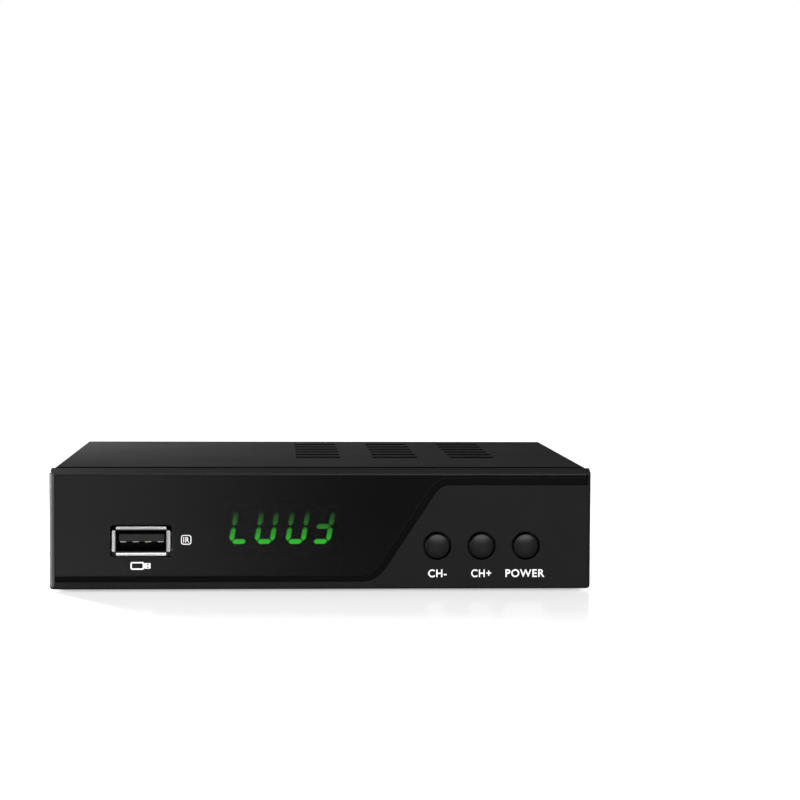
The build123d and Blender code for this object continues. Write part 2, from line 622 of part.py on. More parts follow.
def push_button(x):
    """Domed cap with a flange that keeps it behind the bezel, a key against turning, and a stem."""
    axis = Axis((x, 0, button_z), (0, 1, 0))
    with BuildPart() as button:
        with BuildSketch(Plane(origin=(x, 0, button_z), x_dir=(1, 0, 0), z_dir=(0, 0, 1))):
            with BuildLine():
                shoulder = (dome_half, cap_front + BUTTON_DOME)
                side = (BUTTON_RADIUS, cap_front + BUTTON_DOME + BUTTON_RIM_CHAMFER)
                RadiusArc((0, cap_front), shoulder, dome_radius)
                Polyline(shoulder, side, (BUTTON_RADIUS, flange_front), (BUTTON_FLANGE_RADIUS, flange_front),
                         (BUTTON_FLANGE_RADIUS, flange_back), (BUTTON_STEM_RADIUS, flange_back),
                         (BUTTON_STEM_RADIUS, plunger_tip), (0, plunger_tip), (0, cap_front))
            make_face()
        revolve(axis=axis)
        with BuildSketch(upright(flange_front)):
            with Locations((x, button_z)):
                Rectangle(BUTTON_KEY_WIDTH, BUTTON_FLANGE_RADIUS + BUTTON_KEY_REACH,
                          align=(Align.CENTER, Align.MAX))
        extrude(amount=-BUTTON_FLANGE_THICKNESS)
    return button


def switch_plunger(x):
    """Round plunger of a tactile switch, from the button's stem into the switch body."""
    with BuildPart() as plunger:
        with BuildSketch(upright(plunger_tip)):
            with Locations((x, button_z)):
                Circle(PLUNGER_RADIUS)
        extrude(amount=-(SWITCH_TOTAL - SWITCH_HEIGHT + PLUNGER_SUNK))
    return plunger


channel_down_button, channel_up_button, power_button = [push_button(x) for x in button_xs]
channel_down_plunger, channel_up_plunger, power_plunger = [switch_plunger(x) for x in button_xs]

with BuildPart() as button_switches:
    with BuildSketch(upright(front_board_y)):
        with Locations(*[(x, button_z) for x in button_xs]):
            Rectangle(SWITCH_SIDE, SWITCH_SIDE)
    extrude(amount=SWITCH_HEIGHT)
    with BuildSketch(upright(switch_front)):
        with Locations(*[(x, button_z) for x in button_xs]):
            Circle(PLUNGER_RADIUS + PLUNGER_CLEARANCE)
    extrude(amount=-(PLUNGER_SUNK + BUTTON_TRAVEL + SWITCH_FLOOR_GAP), mode=Mode.SUBTRACT)

# ---------------------------------------------------------------- front board, display, infrared receiver

front_board_low = bezel_bottom + FRONT_BOARD_BOTTOM
front_board_high = bezel_bottom + FRONT_BOARD_TOP

with BuildPart() as front_board:
    with BuildSketch(upright(front_board_y)):
        front_rectangle(FRONT_BOARD_LEFT, front_board_right, front_board_low, front_board_high)
        with Locations(*boss_spots):
            Circle(SCREW_RADIUS + SCREW_CLEARANCE, mode=Mode.SUBTRACT)
    extrude(amount=-BOARD_THICKNESS)

front_board_screws = round_head_screws(
    [Plane(origin=(x, front_board_y + BOARD_THICKNESS, z), x_dir=(1, 0, 0), z_dir=(0, 1, 0))
     for x, z in boss_spots], SCREW_LENGTH)

display_z = bezel_bottom + DISPLAY_CENTRE
display_face = front_board_y - DISPLAY_DEEP
digit_lean = tan(radians(DIGIT_SLANT))
half_colon = COLON_SPACE / 2
digit_centres = [DISPLAY_X + half_colon * (1 if step > 0 else -1) + step * DIGIT_PITCH
                 for step in (-1.5, -0.5, 0.5, 1.5)]
stroke_x = (DIGIT_WIDTH - SEGMENT_WIDTH) / 2
stroke_z = (DIGIT_HEIGHT - SEGMENT_WIDTH) / 2


def segment(start, end):
    """Six-sided bar with pointed ends between two corners of a digit, leaning with the digit."""
    (x0, z0), (x1, z1) = start, end
    length = abs(x1 - x0) + abs(z1 - z0)
    along = ((x1 - x0) / length, (z1 - z0) / length)
    across = (-along[1], along[0])
    half = SEGMENT_WIDTH / 2
    stations = [(SEGMENT_GAP, 0), (SEGMENT_GAP + half, half), (length - SEGMENT_GAP - half, half),
                (length - SEGMENT_GAP, 0), (length - SEGMENT_GAP - half, -half), (SEGMENT_GAP + half, -half)]
    corners = [(x0 + s * along[0] + t * across[0], z0 + s * along[1] + t * across[1]) for s, t in stations]
    Polygon(*[(x + z * digit_lean, z) for x, z in corners], align=None)


def digits():
    """The seven bars of each digit, on the current sketch plane."""
    for middle in digit_centres:
        with Locations((middle, display_z)):
            for z in (-stroke_z, 0, stroke_z):
                segment((-stroke_x, z), (stroke_x, z))
            for x in (-stroke_x, stroke_x):
                segment((x, -stroke_z), (x, 0))
                segment((x, 0), (x, stroke_z))


with BuildPart() as display_segments:
    with BuildSketch(upright(display_face)):
        digits()
    extrude(amount=-SEGMENT_DEPTH)

with BuildPart() as display_housing:
    with BuildSketch(upright(display_face)):
        with Locations((DISPLAY_X, display_z)):
            Rectangle(DISPLAY_WIDTH, DISPLAY_TALL)
    extrude(amount=-DISPLAY_DEEP)
    with BuildSketch(upright(display_face)):
        digits()
    extrude(amount=-SEGMENT_DEPTH, mode=Mode.SUBTRACT)

ir_z = bezel_bottom + IR_HEIGHT
with BuildPart() as infrared_receiver:
    with BuildSketch(upright(front_board_y)):
        with Locations((IR_X, ir_z)):
            Rectangle(IR_BODY_WIDTH, IR_BODY_TALL)
    extrude(amount=IR_BODY_DEEP)
    with BuildSketch(Plane.XY.offset(ir_z - IR_LENS_TALL / 2)):
        with Locations((IR_X, front_board_y - IR_BODY_DEEP - IR_LENS_REACH + IR_LENS_RADIUS)):
            Circle(IR_LENS_RADIUS)
    extrude(amount=IR_LENS_TALL)

# ---------------------------------------------------------------- USB-A socket

usb_mouth = front_y + USB_MOUTH_DEPTH
usb_tube_front = usb_mouth + USB_LIP_DEPTH
usb_back = usb_mouth + USB_LENGTH
tongue_z = usb_z + USB_TONGUE_RISE
tongue_front = usb_tube_front + USB_TONGUE_SETBACK
usb_middle = Plane.XY.offset(usb_z)
usb_side = Plane.YZ.offset(USB_X)


def lip_section(half_gap):
    """Outline of a lip that bends outwards through a right angle at the mouth of the shell."""
    inner = (usb_tube_front, half_gap - USB_SHELL_THICKNESS)
    outer = (usb_tube_front, half_gap)
    bend = half_gap + USB_LIP_DEPTH - USB_SHELL_THICKNESS
    tip = half_gap + USB_LIP_FLARE
    TangentArc(inner, (usb_mouth, bend), tangent=(-1, 0))
    TangentArc(outer, (usb_mouth + USB_SHELL_THICKNESS, bend), tangent=(-1, 0))
    Polyline((usb_mouth, bend), (usb_mouth, tip), (usb_mouth + USB_SHELL_THICKNESS, tip),
             (usb_mouth + USB_SHELL_THICKNESS, bend))
    Line(inner, outer)


with BuildPart() as usb_shell:
    with BuildSketch(upright(usb_tube_front)):
        with Locations((USB_X, usb_z)):
            Rectangle(2 * usb_outer_half_width, 2 * usb_outer_half_tall)
            Rectangle(USB_INNER_WIDTH, USB_INNER_TALL, mode=Mode.SUBTRACT)
    extrude(amount=-(USB_LENGTH - USB_LIP_DEPTH))
    with BuildSketch(Plane(origin=(USB_X, 0, usb_z), x_dir=(0, 1, 0), z_dir=(1, 0, 0))):
        with BuildLine():
            lip_section(usb_outer_half_tall)
        make_face()
    upper_lip = extrude(amount=usb_outer_half_width - USB_LIP_INSET, both=True)
    mirror(upper_lip, about=usb_middle)
    with BuildSketch(Plane(origin=(USB_X, 0, usb_z), x_dir=(0, 1, 0), z_dir=(0, 0, -1))):
        with BuildLine():
            lip_section(usb_outer_half_width)
        make_face()
    right_lip = extrude(amount=usb_outer_half_tall - USB_LIP_INSET, both=True)
    mirror(right_lip, about=usb_side)
    lip_corners = usb_shell.edges().filter_by(Axis.Y).group_by(Axis.Y)[0]
    fillet(lip_corners, USB_LIP_CORNER)

with BuildPart() as usb_tongue:
    with BuildSketch(upright(usb_back)):
        with Locations((USB_X, usb_z)):
            Rectangle(USB_INNER_WIDTH, USB_INNER_TALL)
    extrude(amount=USB_BASE_DEPTH)
    with BuildSketch(upright(usb_back - USB_BASE_DEPTH)):
        with Locations((USB_X, tongue_z)):
            Rectangle(USB_TONGUE_WIDTH, USB_TONGUE_THICKNESS)
    extrude(amount=usb_back - USB_BASE_DEPTH - tongue_front)

contact_top = tongue_z - USB_TONGUE_THICKNESS / 2
with BuildPart() as usb_contacts:
    with BuildSketch(upright(usb_back - USB_BASE_DEPTH)):
        with Locations((USB_X, contact_top - USB_CONTACT_THICKNESS / 2)):
            with GridLocations(USB_CONTACT_PITCH, 0, USB_CONTACTS, 1):
                Rectangle(USB_CONTACT_WIDTH, USB_CONTACT_THICKNESS)
    extrude(amount=usb_back - USB_BASE_DEPTH - tongue_front - USB_CONTACT_SETBACK)

# ---------------------------------------------------------------- main board and its parts

def from_front(x, depth):
    """Point on the board given across and behind the front face."""
    return (x, front_y + depth)


with BuildPart() as main_board:
    with BuildSketch(Plane.XY.offset(board_bottom)):
        front_rectangle(-board_half, board_half, board_front, board_rear)
        front_rectangle(-board_half, BOARD_TAB_RIGHT, front_y + BOARD_TAB_DEPTH, board_front)
        with Locations(*standoff_spots):
            Circle(SCREW_RADIUS + SCREW_CLEARANCE, mode=Mode.SUBTRACT)
    extrude(amount=BOARD_THICKNESS)

with BuildPart() as board_standoffs:
    with BuildSketch(Plane.XY.offset(floor_top)):
        with Locations(*standoff_spots):
            RegularPolygon(STANDOFF_ACROSS_FLATS / 2, 6, major_radius=False)
            Circle(SCREW_RADIUS + THREAD_CLEARANCE, mode=Mode.SUBTRACT)
    extrude(amount=board_bottom - floor_top)

board_screws = round_head_screws([Plane(origin=(x, y, board_top)) for x, y in standoff_spots], SCREW_LENGTH)

with BuildPart() as main_chip:
    with BuildSketch(Plane.XY.offset(board_top)):
        with Locations(from_front(CHIP_X, CHIP_DEPTH)):
            Rectangle(CHIP_SIDE, CHIP_SIDE)
    extrude(amount=CHIP_HEIGHT)

heatsink_bottom = board_top + CHIP_HEIGHT
fin_pitch = (HEATSINK_SIDE - FIN_THICKNESS) / (HEATSINK_FINS - 1)
with BuildPart() as heatsink:
    with BuildSketch(Plane.XY.offset(heatsink_bottom)):
        with Locations(from_front(CHIP_X, CHIP_DEPTH)):
            Rectangle(HEATSINK_SIDE, HEATSINK_SIDE)
    extrude(amount=HEATSINK_BASE)
    with BuildSketch(Plane.XY.offset(heatsink_bottom + HEATSINK_BASE)):
        with Locations(from_front(CHIP_X, CHIP_DEPTH)):
            with GridLocations(fin_pitch, 0, HEATSINK_FINS, 1):
                Rectangle(FIN_THICKNESS, HEATSINK_SIDE)
    extrude(amount=HEATSINK_HEIGHT - HEATSINK_BASE)

with BuildPart() as memory_chips:
    with BuildSketch(Plane.XY.offset(board_top)):
        with Locations(from_front(CHIP_X, CHIP_DEPTH)):
            with GridLocations(2 * MEMORY_OFFSET, 0, 2, 1):
                Rectangle(MEMORY_WIDTH, MEMORY_LENGTH)
    extrude(amount=MEMORY_HEIGHT)

with BuildPart() as quartz_crystal:
    with BuildSketch(Plane.XY.offset(board_top)):
        with Locations(from_front(CRYSTAL_X, CRYSTAL_DEPTH)):
            SlotOverall(CRYSTAL_LENGTH, CRYSTAL_WIDTH)
    extrude(amount=CRYSTAL_HEIGHT)

with BuildPart() as capacitors:
    for radius, height, inset in zip(CAPACITOR_RADII, CAPACITOR_HEIGHTS, CAPACITOR_INSETS):
        with BuildSketch(Plane.XY.offset(board_top)):
            with Locations(*[from_front(board_half - inset, depth) for depth in CAPACITOR_DEPTHS]):
                Circle(radius)
        extrude(amount=height)

with BuildPart() as power_coils:
    with BuildSketch(Plane.XY.offset(board_top)):
        with Locations(*[from_front(x, depth) for x, depth in COIL_SPOTS]):
            RectangleRounded(COIL_SIDE, COIL_SIDE, COIL_CORNER)
    extrude(amount=COIL_HEIGHT)

# ---------------------------------------------------------------- ribbon between the boards

front_header_low = bezel_bottom + HEADER_HEIGHT
front_header_back = front_board_y + BOARD_THICKNESS + HEADER_TALL
main_header_y = front_y + MAIN_HEADER_DEPTH
main_header_top = board_top + HEADER_TALL

with BuildPart() as front_board_header:
    with BuildSketch(upright(front_board_y + BOARD_THICKNESS)):
        with Locations((HEADER_X, front_header_low + HEADER_DEEP / 2)):
            Rectangle(HEADER_WIDTH, HEADER_DEEP)
    extrude(amount=-HEADER_TALL)

with BuildPart() as main_board_header:
    with BuildSketch(Plane.XY.offset(board_top)):
        with Locations((HEADER_X, main_header_y)):
            Rectangle(HEADER_WIDTH, HEADER_DEEP)
    extrude(amount=HEADER_TALL)

with BuildPart() as ribbon_cable:
    with BuildLine(Plane.YZ.offset(HEADER_X)) as route:
        ribbon_z = front_header_low + HEADER_DEEP / 2
        FilletPolyline((front_header_back, ribbon_z), (main_header_y, ribbon_z),
                       (main_header_y, main_header_top), radius=RIBBON_RADIUS)
    with BuildSketch(upright(front_header_back)):
        with Locations((HEADER_X, ribbon_z)):
            Rectangle(RIBBON_WIDTH, RIBBON_THICKNESS)
    sweep(path=route.wires()[0])

# ---------------------------------------------------------------- tuner and aerial sockets

with BuildPart() as tuner_can:
    with BuildSketch(Plane.XY.offset(board_top)):
        front_rectangle(TUNER_X - TUNER_WIDTH / 2, TUNER_X + TUNER_WIDTH / 2, tuner_front, tuner_rear)
    extrude(amount=TUNER_HEIGHT)
    faces_by_height = tuner_can.faces().sort_by(Axis.Z)
    offset(amount=-TUNER_WALL, openings=[faces_by_height[0], faces_by_height[-1]])

with BuildPart() as tuner_lid:
    with BuildSketch(Plane.XY.offset(board_top + TUNER_HEIGHT - TUNER_LID_SKIRT)):
        front_rectangle(TUNER_X - TUNER_WIDTH / 2 - TUNER_WALL, TUNER_X + TUNER_WIDTH / 2 + TUNER_WALL,
                        tuner_front - TUNER_WALL, tuner_rear)
    extrude(amount=TUNER_LID_SKIRT + TUNER_WALL)
    with BuildSketch(Plane.XY.offset(board_top + TUNER_HEIGHT - TUNER_LID_SKIRT)):
        front_rectangle(TUNER_X - TUNER_WIDTH / 2, TUNER_X + TUNER_WIDTH / 2, tuner_front, tuner_rear)
    extrude(amount=TUNER_LID_SKIRT, mode=Mode.SUBTRACT)

washer_rear = rear_y + WASHER_THICKNESS
nut_rear = washer_rear + NUT_THICKNESS
lnb_tip = rear_y + LNB_REACH


def lnb_socket(x):
    """Threaded aerial socket: a flange inside the rear wall, a neck under the nut, then the thread."""
    with BuildPart() as socket:
        with BuildSketch(upright(tuner_rear)):
            with Locations((x, lnb_z)):
                Circle(LNB_FLANGE_RADIUS)
        extrude(amount=-LNB_FLANGE_THICKNESS)
        with BuildSketch(upright(rear_wall_front)):
            with Locations((x, lnb_z)):
                Circle(LNB_NECK_RADIUS)
        extrude(amount=-(nut_rear - rear_wall_front))
        with BuildSketch(upright(nut_rear)):
            with Locations((x, lnb_z)):
                Circle(LNB_THREAD_RADIUS)
        extrude(amount=-(lnb_tip - nut_rear))
        with BuildSketch(upright(tuner_rear)):
            with Locations((x, lnb_z)):
                Circle(LNB_BORE_RADIUS)
        extrude(amount=-(lnb_tip - tuner_rear), mode=Mode.SUBTRACT)
    return socket


lnb_in_socket, lnb_out_socket = [lnb_socket(x) for x in lnb_xs]
lnb_places = [(x, lnb_z) for x in lnb_xs]

with BuildPart() as lnb_insulators:
    with BuildSketch(upright(tuner_rear)):
        with Locations(*lnb_places):
            Circle(LNB_BORE_RADIUS)
    extrude(amount=-(lnb_tip - tuner_rear))
    with BuildSketch(upright(lnb_tip)):
        with Locations(*lnb_places):
            Circle(LNB_CONTACT_RADIUS)
    extrude(amount=lnb_tip - rear_y, mode=Mode.SUBTRACT)

with BuildPart() as lnb_washers:
    with BuildSketch(upright(rear_y)):
        with Locations(*lnb_places):
            Circle(WASHER_RADIUS)
            Circle(LNB_THREAD_RADIUS + LNB_HOLE_CLEARANCE, mode=Mode.SUBTRACT)
    extrude(amount=-WASHER_THICKNESS)

with BuildPart() as lnb_nuts:
    with BuildSketch(upright(washer_rear)):
        with Locations(*lnb_places):
            RegularPolygon(NUT_ACROSS_FLATS / 2, 6, major_radius=False)
            Circle(LNB_NECK_RADIUS + THREAD_CLEARANCE, mode=Mode.SUBTRACT)
    extrude(amount=-NUT_THICKNESS)

# ---------------------------------------------------------------- digital video socket

video_middle = (VIDEO_X, video_bottom + VIDEO_TALL / 2)
video_mouth = rear_y + VIDEO_REACH
video_front = video_mouth - VIDEO_LENGTH


def video_outline(shrink):
    """Flat-topped D-shaped socket outline, drawn in by a wall thickness."""
    half = VIDEO_WIDTH / 2 - shrink
    lower_half = VIDEO_LOWER_WIDTH / 2 - shrink
    low, high = video_bottom + shrink, video_bottom + VIDEO_TALL - shrink
    shoulder = video_bottom + VIDEO_TALL - VIDEO_SHOULDER
    Polygon(*[(VIDEO_X + x, z) for x, z in
              ((-lower_half, low), (lower_half, low), (half, shoulder), (half, high), (-half, high),
               (-half, shoulder))], align=None)


with BuildPart() as video_socket_shell:
    with BuildSketch(upright(video_front)):
        video_outline(0)
    extrude(amount=-VIDEO_LENGTH)
    with BuildSketch(upright(video_mouth)):
        video_outline(VIDEO_SHELL_THICKNESS)
    extrude(amount=VIDEO_LENGTH - VIDEO_SHELL_THICKNESS, mode=Mode.SUBTRACT)
    with BuildSketch(Plane.XY.offset(board_top)):
        with Locations((VIDEO_X, (video_front + board_rear) / 2)):
            with GridLocations(VIDEO_LOWER_WIDTH - 2 * VIDEO_LIFT, 0, 2, 1):
                Rectangle(2 * VIDEO_LIFT, board_rear - video_front)
    extrude(amount=VIDEO_LIFT)

with BuildPart() as video_socket_tongue:
    with BuildSketch(upright(video_front + VIDEO_SHELL_THICKNESS)):
        with Locations(video_middle):
            Rectangle(VIDEO_TONGUE_WIDTH, VIDEO_TONGUE_THICKNESS)
    extrude(amount=-(VIDEO_LENGTH - VIDEO_SHELL_THICKNESS - VIDEO_REACH))

# ---------------------------------------------------------------- phono sockets

av_places = [(x, av_z) for x in av_xs]
collar_rear = rear_y + AV_COLLAR_REACH
av_tip = rear_y + AV_REACH

with BuildPart() as av_jack_block:
    with BuildSketch(upright(rear_wall_front)):
        front_rectangle(av_left, av_right, board_top, board_top + AV_BLOCK_HEIGHT)
    extrude(amount=AV_BLOCK_DEPTH)


def jack_collar(x):
    """Coloured ring that fills the hole in the rear wall round one phono socket."""
    with BuildPart() as collar:
        with BuildSketch(upright(rear_wall_front)):
            with Locations((x, av_z)):
                Circle(AV_COLLAR_RADIUS)
                Circle(AV_NECK_RADIUS + THREAD_CLEARANCE, mode=Mode.SUBTRACT)
        extrude(amount=-(collar_rear - rear_wall_front))
    return collar


composite_jack_collar, left_audio_collar, right_audio_collar = [jack_collar(x) for x in av_xs]

with BuildPart() as av_jack_sleeves:
    with BuildSketch(upright(rear_wall_front)):
        with Locations(*av_places):
            Circle(AV_NECK_RADIUS)
    extrude(amount=-(collar_rear - rear_wall_front))
    with BuildSketch(upright(collar_rear)):
        with Locations(*av_places):
            Circle(AV_SLEEVE_RADIUS)
    extrude(amount=-(av_tip - collar_rear))
    with BuildSketch(upright(rear_wall_front)):
        with Locations(*av_places):
            Circle(AV_SLEEVE_RADIUS - AV_SLEEVE_WALL)
    extrude(amount=-(av_tip - rear_wall_front), mode=Mode.SUBTRACT)

with BuildPart() as av_jack_insulators:
    with BuildSketch(upright(rear_wall_front)):
        with Locations(*av_places):
            Circle(AV_SLEEVE_RADIUS - AV_SLEEVE_WALL)
            Circle(AV_BORE_RADIUS, mode=Mode.SUBTRACT)
    extrude(amount=-(av_tip - rear_wall_front))

# ---------------------------------------------------------------- power socket

with BuildPart() as power_socket_body:
    with BuildSketch(upright(rear_wall_front)):
        front_rectangle(POWER_X - POWER_WIDTH / 2, POWER_X + POWER_WIDTH / 2,
                        board_top, board_top + POWER_HEIGHT)
    extrude(amount=POWER_LENGTH)
    with BuildSketch(upright(rear_wall_front)):
        with Locations((POWER_X, power_z)):
            Circle(POWER_RIM_RADIUS)
    extrude(amount=-CHASSIS_THICKNESS)
    with BuildSketch(upright(rear_y)):
        with Locations((POWER_X, power_z)):
            Circle(POWER_BORE_RADIUS)
    extrude(amount=POWER_BORE_DEPTH, mode=Mode.SUBTRACT)

with BuildPart() as power_socket_pin:
    with BuildSketch(upright(rear_y - POWER_BORE_DEPTH)):
        with Locations((POWER_X, power_z)):
            Circle(POWER_PIN_RADIUS)
    extrude(amount=-(POWER_BORE_DEPTH - POWER_PIN_SETBACK))

# ---------------------------------------------------------------- case screws

rear_cover_screws = round_head_screws(
    [Plane(origin=(x, cover_rear, rear_screw_z), x_dir=(1, 0, 0), z_dir=(0, 1, 0)) for x in rear_screw_xs],
    SHORT_SCREW_LENGTH)

side_cover_screws = round_head_screws(
    [Plane(origin=(side * cover_half, side_screw_y, side_screw_z), x_dir=(0, 1, 0), z_dir=(side, 0, 0))
     for side in (-1, 1)], SHORT_SCREW_LENGTH, SIDE_HEAD_HEIGHT)

# ---------------------------------------------------------------- hand over every piece

pieces = {
    "top_cover": top_cover,
    "bottom_chassis": bottom_chassis,
    "front_bezel": front_bezel,
    "display_window": display_window,
    "rubber_feet": rubber_feet,
    "rear_cover_screws": rear_cover_screws,
    "side_cover_screws": side_cover_screws,
    "channel_down_button": channel_down_button,
    "channel_up_button": channel_up_button,
    "power_button": power_button,
    "channel_down_plunger": channel_down_plunger,
    "channel_up_plunger": channel_up_plunger,
    "power_plunger": power_plunger,
    "button_switches": button_switches,
    "front_board": front_board,
    "front_board_screws": front_board_screws,
    "display_housing": display_housing,
    "display_segments": display_segments,
    "infrared_receiver": infrared_receiver,
    "usb_shell": usb_shell,
    "usb_tongue": usb_tongue,
    "usb_contacts": usb_contacts,
    "main_board": main_board,
    "board_standoffs": board_standoffs,
    "board_screws": board_screws,
    "main_chip": main_chip,
    "heatsink": heatsink,
    "memory_chips": memory_chips,
    "quartz_crystal": quartz_crystal,
    "capacitors": capacitors,
    "power_coils": power_coils,
    "front_board_header": front_board_header,
    "main_board_header": main_board_header,
    "ribbon_cable": ribbon_cable,
    "tuner_can": tuner_can,
    "tuner_lid": tuner_lid,
    "lnb_in_socket": lnb_in_socket,
    "lnb_out_socket": lnb_out_socket,
    "lnb_insulators": lnb_insulators,
    "lnb_washers": lnb_washers,
    "lnb_nuts": lnb_nuts,
    "video_socket_shell": video_socket_shell,
    "video_socket_tongue": video_socket_tongue,
    "av_jack_block": av_jack_block,
    "av_jack_sleeves": av_jack_sleeves,
    "av_jack_insulators": av_jack_insulators,
    "composite_jack_collar": composite_jack_collar,
    "left_audio_collar": left_audio_collar,
    "right_audio_collar": right_audio_collar,
    "power_socket_body": power_socket_body,
    "power_socket_pin": power_socket_pin,
}
for name, piece in pieces.items():
    piece.part.label = name
    export_step(piece.part, f"parts/{name}.step")
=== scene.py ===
# %% [markdown]
# # A small satellite television receiver
#
# The object is a set-top box about as wide as a hand: a folded steel cover, a moulded front with a
# smoked window, three push buttons, a memory-stick socket and a row of sockets behind. Its
# construction is loaded as a fixed frame. This lesson gives it its looks: the finish of every
# surface, the printed marks, the lit digits, and the fine metalwork that a frame leaves plain.

# %% Load the frame
import json
import math

import bmesh
import bpy
from mathutils import Matrix, Vector


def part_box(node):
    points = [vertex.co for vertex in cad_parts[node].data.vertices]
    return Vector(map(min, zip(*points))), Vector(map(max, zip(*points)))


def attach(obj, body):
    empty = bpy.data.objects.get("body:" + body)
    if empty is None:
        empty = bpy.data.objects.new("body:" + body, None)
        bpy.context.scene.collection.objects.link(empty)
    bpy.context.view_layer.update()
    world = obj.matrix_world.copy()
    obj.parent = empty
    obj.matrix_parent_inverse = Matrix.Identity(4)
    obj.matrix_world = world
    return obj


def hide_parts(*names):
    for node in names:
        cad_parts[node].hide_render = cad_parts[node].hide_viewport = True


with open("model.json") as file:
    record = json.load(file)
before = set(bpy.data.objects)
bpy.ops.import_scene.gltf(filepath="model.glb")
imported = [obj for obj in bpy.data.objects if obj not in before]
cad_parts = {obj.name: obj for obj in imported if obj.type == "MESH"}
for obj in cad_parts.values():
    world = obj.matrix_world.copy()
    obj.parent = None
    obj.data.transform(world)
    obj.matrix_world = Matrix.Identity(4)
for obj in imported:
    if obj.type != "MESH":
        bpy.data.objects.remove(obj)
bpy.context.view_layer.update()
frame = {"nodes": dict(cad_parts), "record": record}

nodes = frame["nodes"]
MM = 0.001

# %% [markdown]
# ## The camera
#
# The box is seen from the front and a little above, with a long lens that keeps its edges nearly
# parallel. A camera in Blender looks down its own -Z axis, so a quarter turn about X makes it look
# along +Y, and a smaller turn tips it down. The shift slides the picture without turning the camera.

# %% Camera
CAMERA_PLACE = (-0.0117, -0.5383, 0.076)
CAMERA_YAW = math.radians(2.99)  # towards +X
CAMERA_PITCH = math.radians(2.60)  # downwards
CAMERA_ROLL = math.radians(0.30)
CAMERA_LENS = 85.4
CAMERA_SHIFT = (0.03, -0.02)
NEAREST_SEEN = 10 * MM


def placed(name, data):
    """Puts an object with these data into the scene."""
    item = bpy.data.objects.new(name, data)
    bpy.context.scene.collection.objects.link(item)
    return item


camera_data = bpy.data.cameras.new("camera")
camera_data.lens = CAMERA_LENS
camera_data.shift_x, camera_data.shift_y = CAMERA_SHIFT
camera_data.clip_start = NEAREST_SEEN
camera = placed("camera", camera_data)
camera.location = CAMERA_PLACE
yaw = Matrix.Rotation(-CAMERA_YAW, 3, "Z")
pitch = Matrix.Rotation(math.pi / 2 - CAMERA_PITCH, 3, "X")
roll = Matrix.Rotation(CAMERA_ROLL, 3, "Z")
camera.rotation_euler = (yaw @ pitch @ roll).to_euler()
bpy.context.scene.camera = camera
bpy.context.scene.view_settings.view_transform = "Standard"

# %% [markdown]
# ## Arithmetic with nodes
#
# Materials and Geometry Nodes are both trees of nodes, and most of their nodes are arithmetic. A
# formula is easier to read than a chain of nodes, so `Number` lets Python write the chain: adding
# two Numbers adds a Math node to their tree. `add_node` adds any other node and fills its inputs.

# %% Node helpers


def put(tree, entry, value):
    """Sets an input, or links it to a Number, a socket, or the first output of a node."""
    if isinstance(value, Number):
        value = value.socket
    elif isinstance(value, bpy.types.Node):
        value = value.outputs[0]
    if isinstance(value, bpy.types.NodeSocket):
        tree.links.new(value, entry)
    else:
        entry.default_value = value


def fill(tree, node, **inputs):
    """Fills inputs of a node. An underscore in a name stands for a space."""
    for label, value in inputs.items():
        put(tree, node.inputs[label.replace("_", " ")], value)


def add_node(tree, kind, settings=None, **inputs):
    """Adds a node with its settings, and fills its inputs."""
    node = tree.nodes.new(kind)
    for label, value in (settings or {}).items():
        setattr(node, label, value)
    fill(tree, node, **inputs)
    return node


class Number:
    """A number that flows through a node tree. Arithmetic on it adds Math nodes to the tree."""

    def __init__(self, tree, socket):
        self.tree, self.socket = tree, socket

    def math(self, operation, *values):
        """The result of one Math node."""
        node = add_node(self.tree, "ShaderNodeMath", {"operation": operation})
        for entry, value in zip(node.inputs, values):
            put(self.tree, entry, value)
        return Number(self.tree, node.outputs["Value"])

    def then(self, operation, *others):
        """The result of one Math node whose first value is this number."""
        return self.math(operation, self, *others)

    def __add__(self, other):
        return self.then("ADD", other)

    def __sub__(self, other):
        return self.then("SUBTRACT", other)

    def __rsub__(self, other):
        return self.math("SUBTRACT", other, self)

    def __mul__(self, other):
        return self.then("MULTIPLY", other)

    def __truediv__(self, other):
        return self.then("DIVIDE", other)


# %% [markdown]
# ## Building a material from nodes
#
# A finish is more than a colour. Each one here starts from the Principled shader and adds what the
# real surface has: a fine grain that tilts the light (Bump), and a colour and gloss that wander a
# little over the surface (Noise). The patterns read Object coordinates. A piece's object sits at
# the origin, so those are real places in metres, and a grain of 0.3 mm is 0.3 mm on every piece.

# %% Material helpers


def new_material(name, **inputs):
    """A node material, its tree and its Principled shader, with some of the shader's inputs set."""
    material = bpy.data.materials.new(name)
    material.use_nodes = True
    tree = material.node_tree
    shader = tree.nodes["Principled BSDF"]
    fill(tree, shader, **inputs)
    return material, tree, shader


def object_place(tree):
    """The place on the object, in metres."""
    return tree.nodes.new("ShaderNodeTexCoord").outputs["Object"]


def object_noise(tree, size, detail=3.0, stretch=(1, 1, 1)):
    """Noise whose blotches are about `size` metres across, read from Object coordinates."""
    scale = [1 / (size * s) for s in stretch]
    mapping = add_node(tree, "ShaderNodeMapping", Vector=object_place(tree), Scale=scale)
    noise = add_node(tree, "ShaderNodeTexNoise", Vector=mapping, Scale=1.0, Detail=detail)
    return Number(tree, noise.outputs["Fac"])


def mapped(value, low, high, to_low=0.0, to_high=1.0, interpolation="LINEAR"):
    """Maps a Number from low..high onto to_low..to_high."""
    node = add_node(value.tree, "ShaderNodeMapRange", {"interpolation_type": interpolation}, Value=value,
                    From_Min=low, From_Max=high, To_Min=to_low, To_Max=to_high)
    return Number(value.tree, node.outputs["Result"])


def spread(noise, low, high):
    """Maps the usual values of a noise, 0.3 to 0.7, onto low to high."""
    return mapped(noise, 0.3, 0.7, low, high)


def place_along(tree, axis):
    """The place along one axis of the object, in metres."""
    split = add_node(tree, "ShaderNodeSeparateXYZ", Vector=object_place(tree))
    return Number(tree, split.outputs[axis])


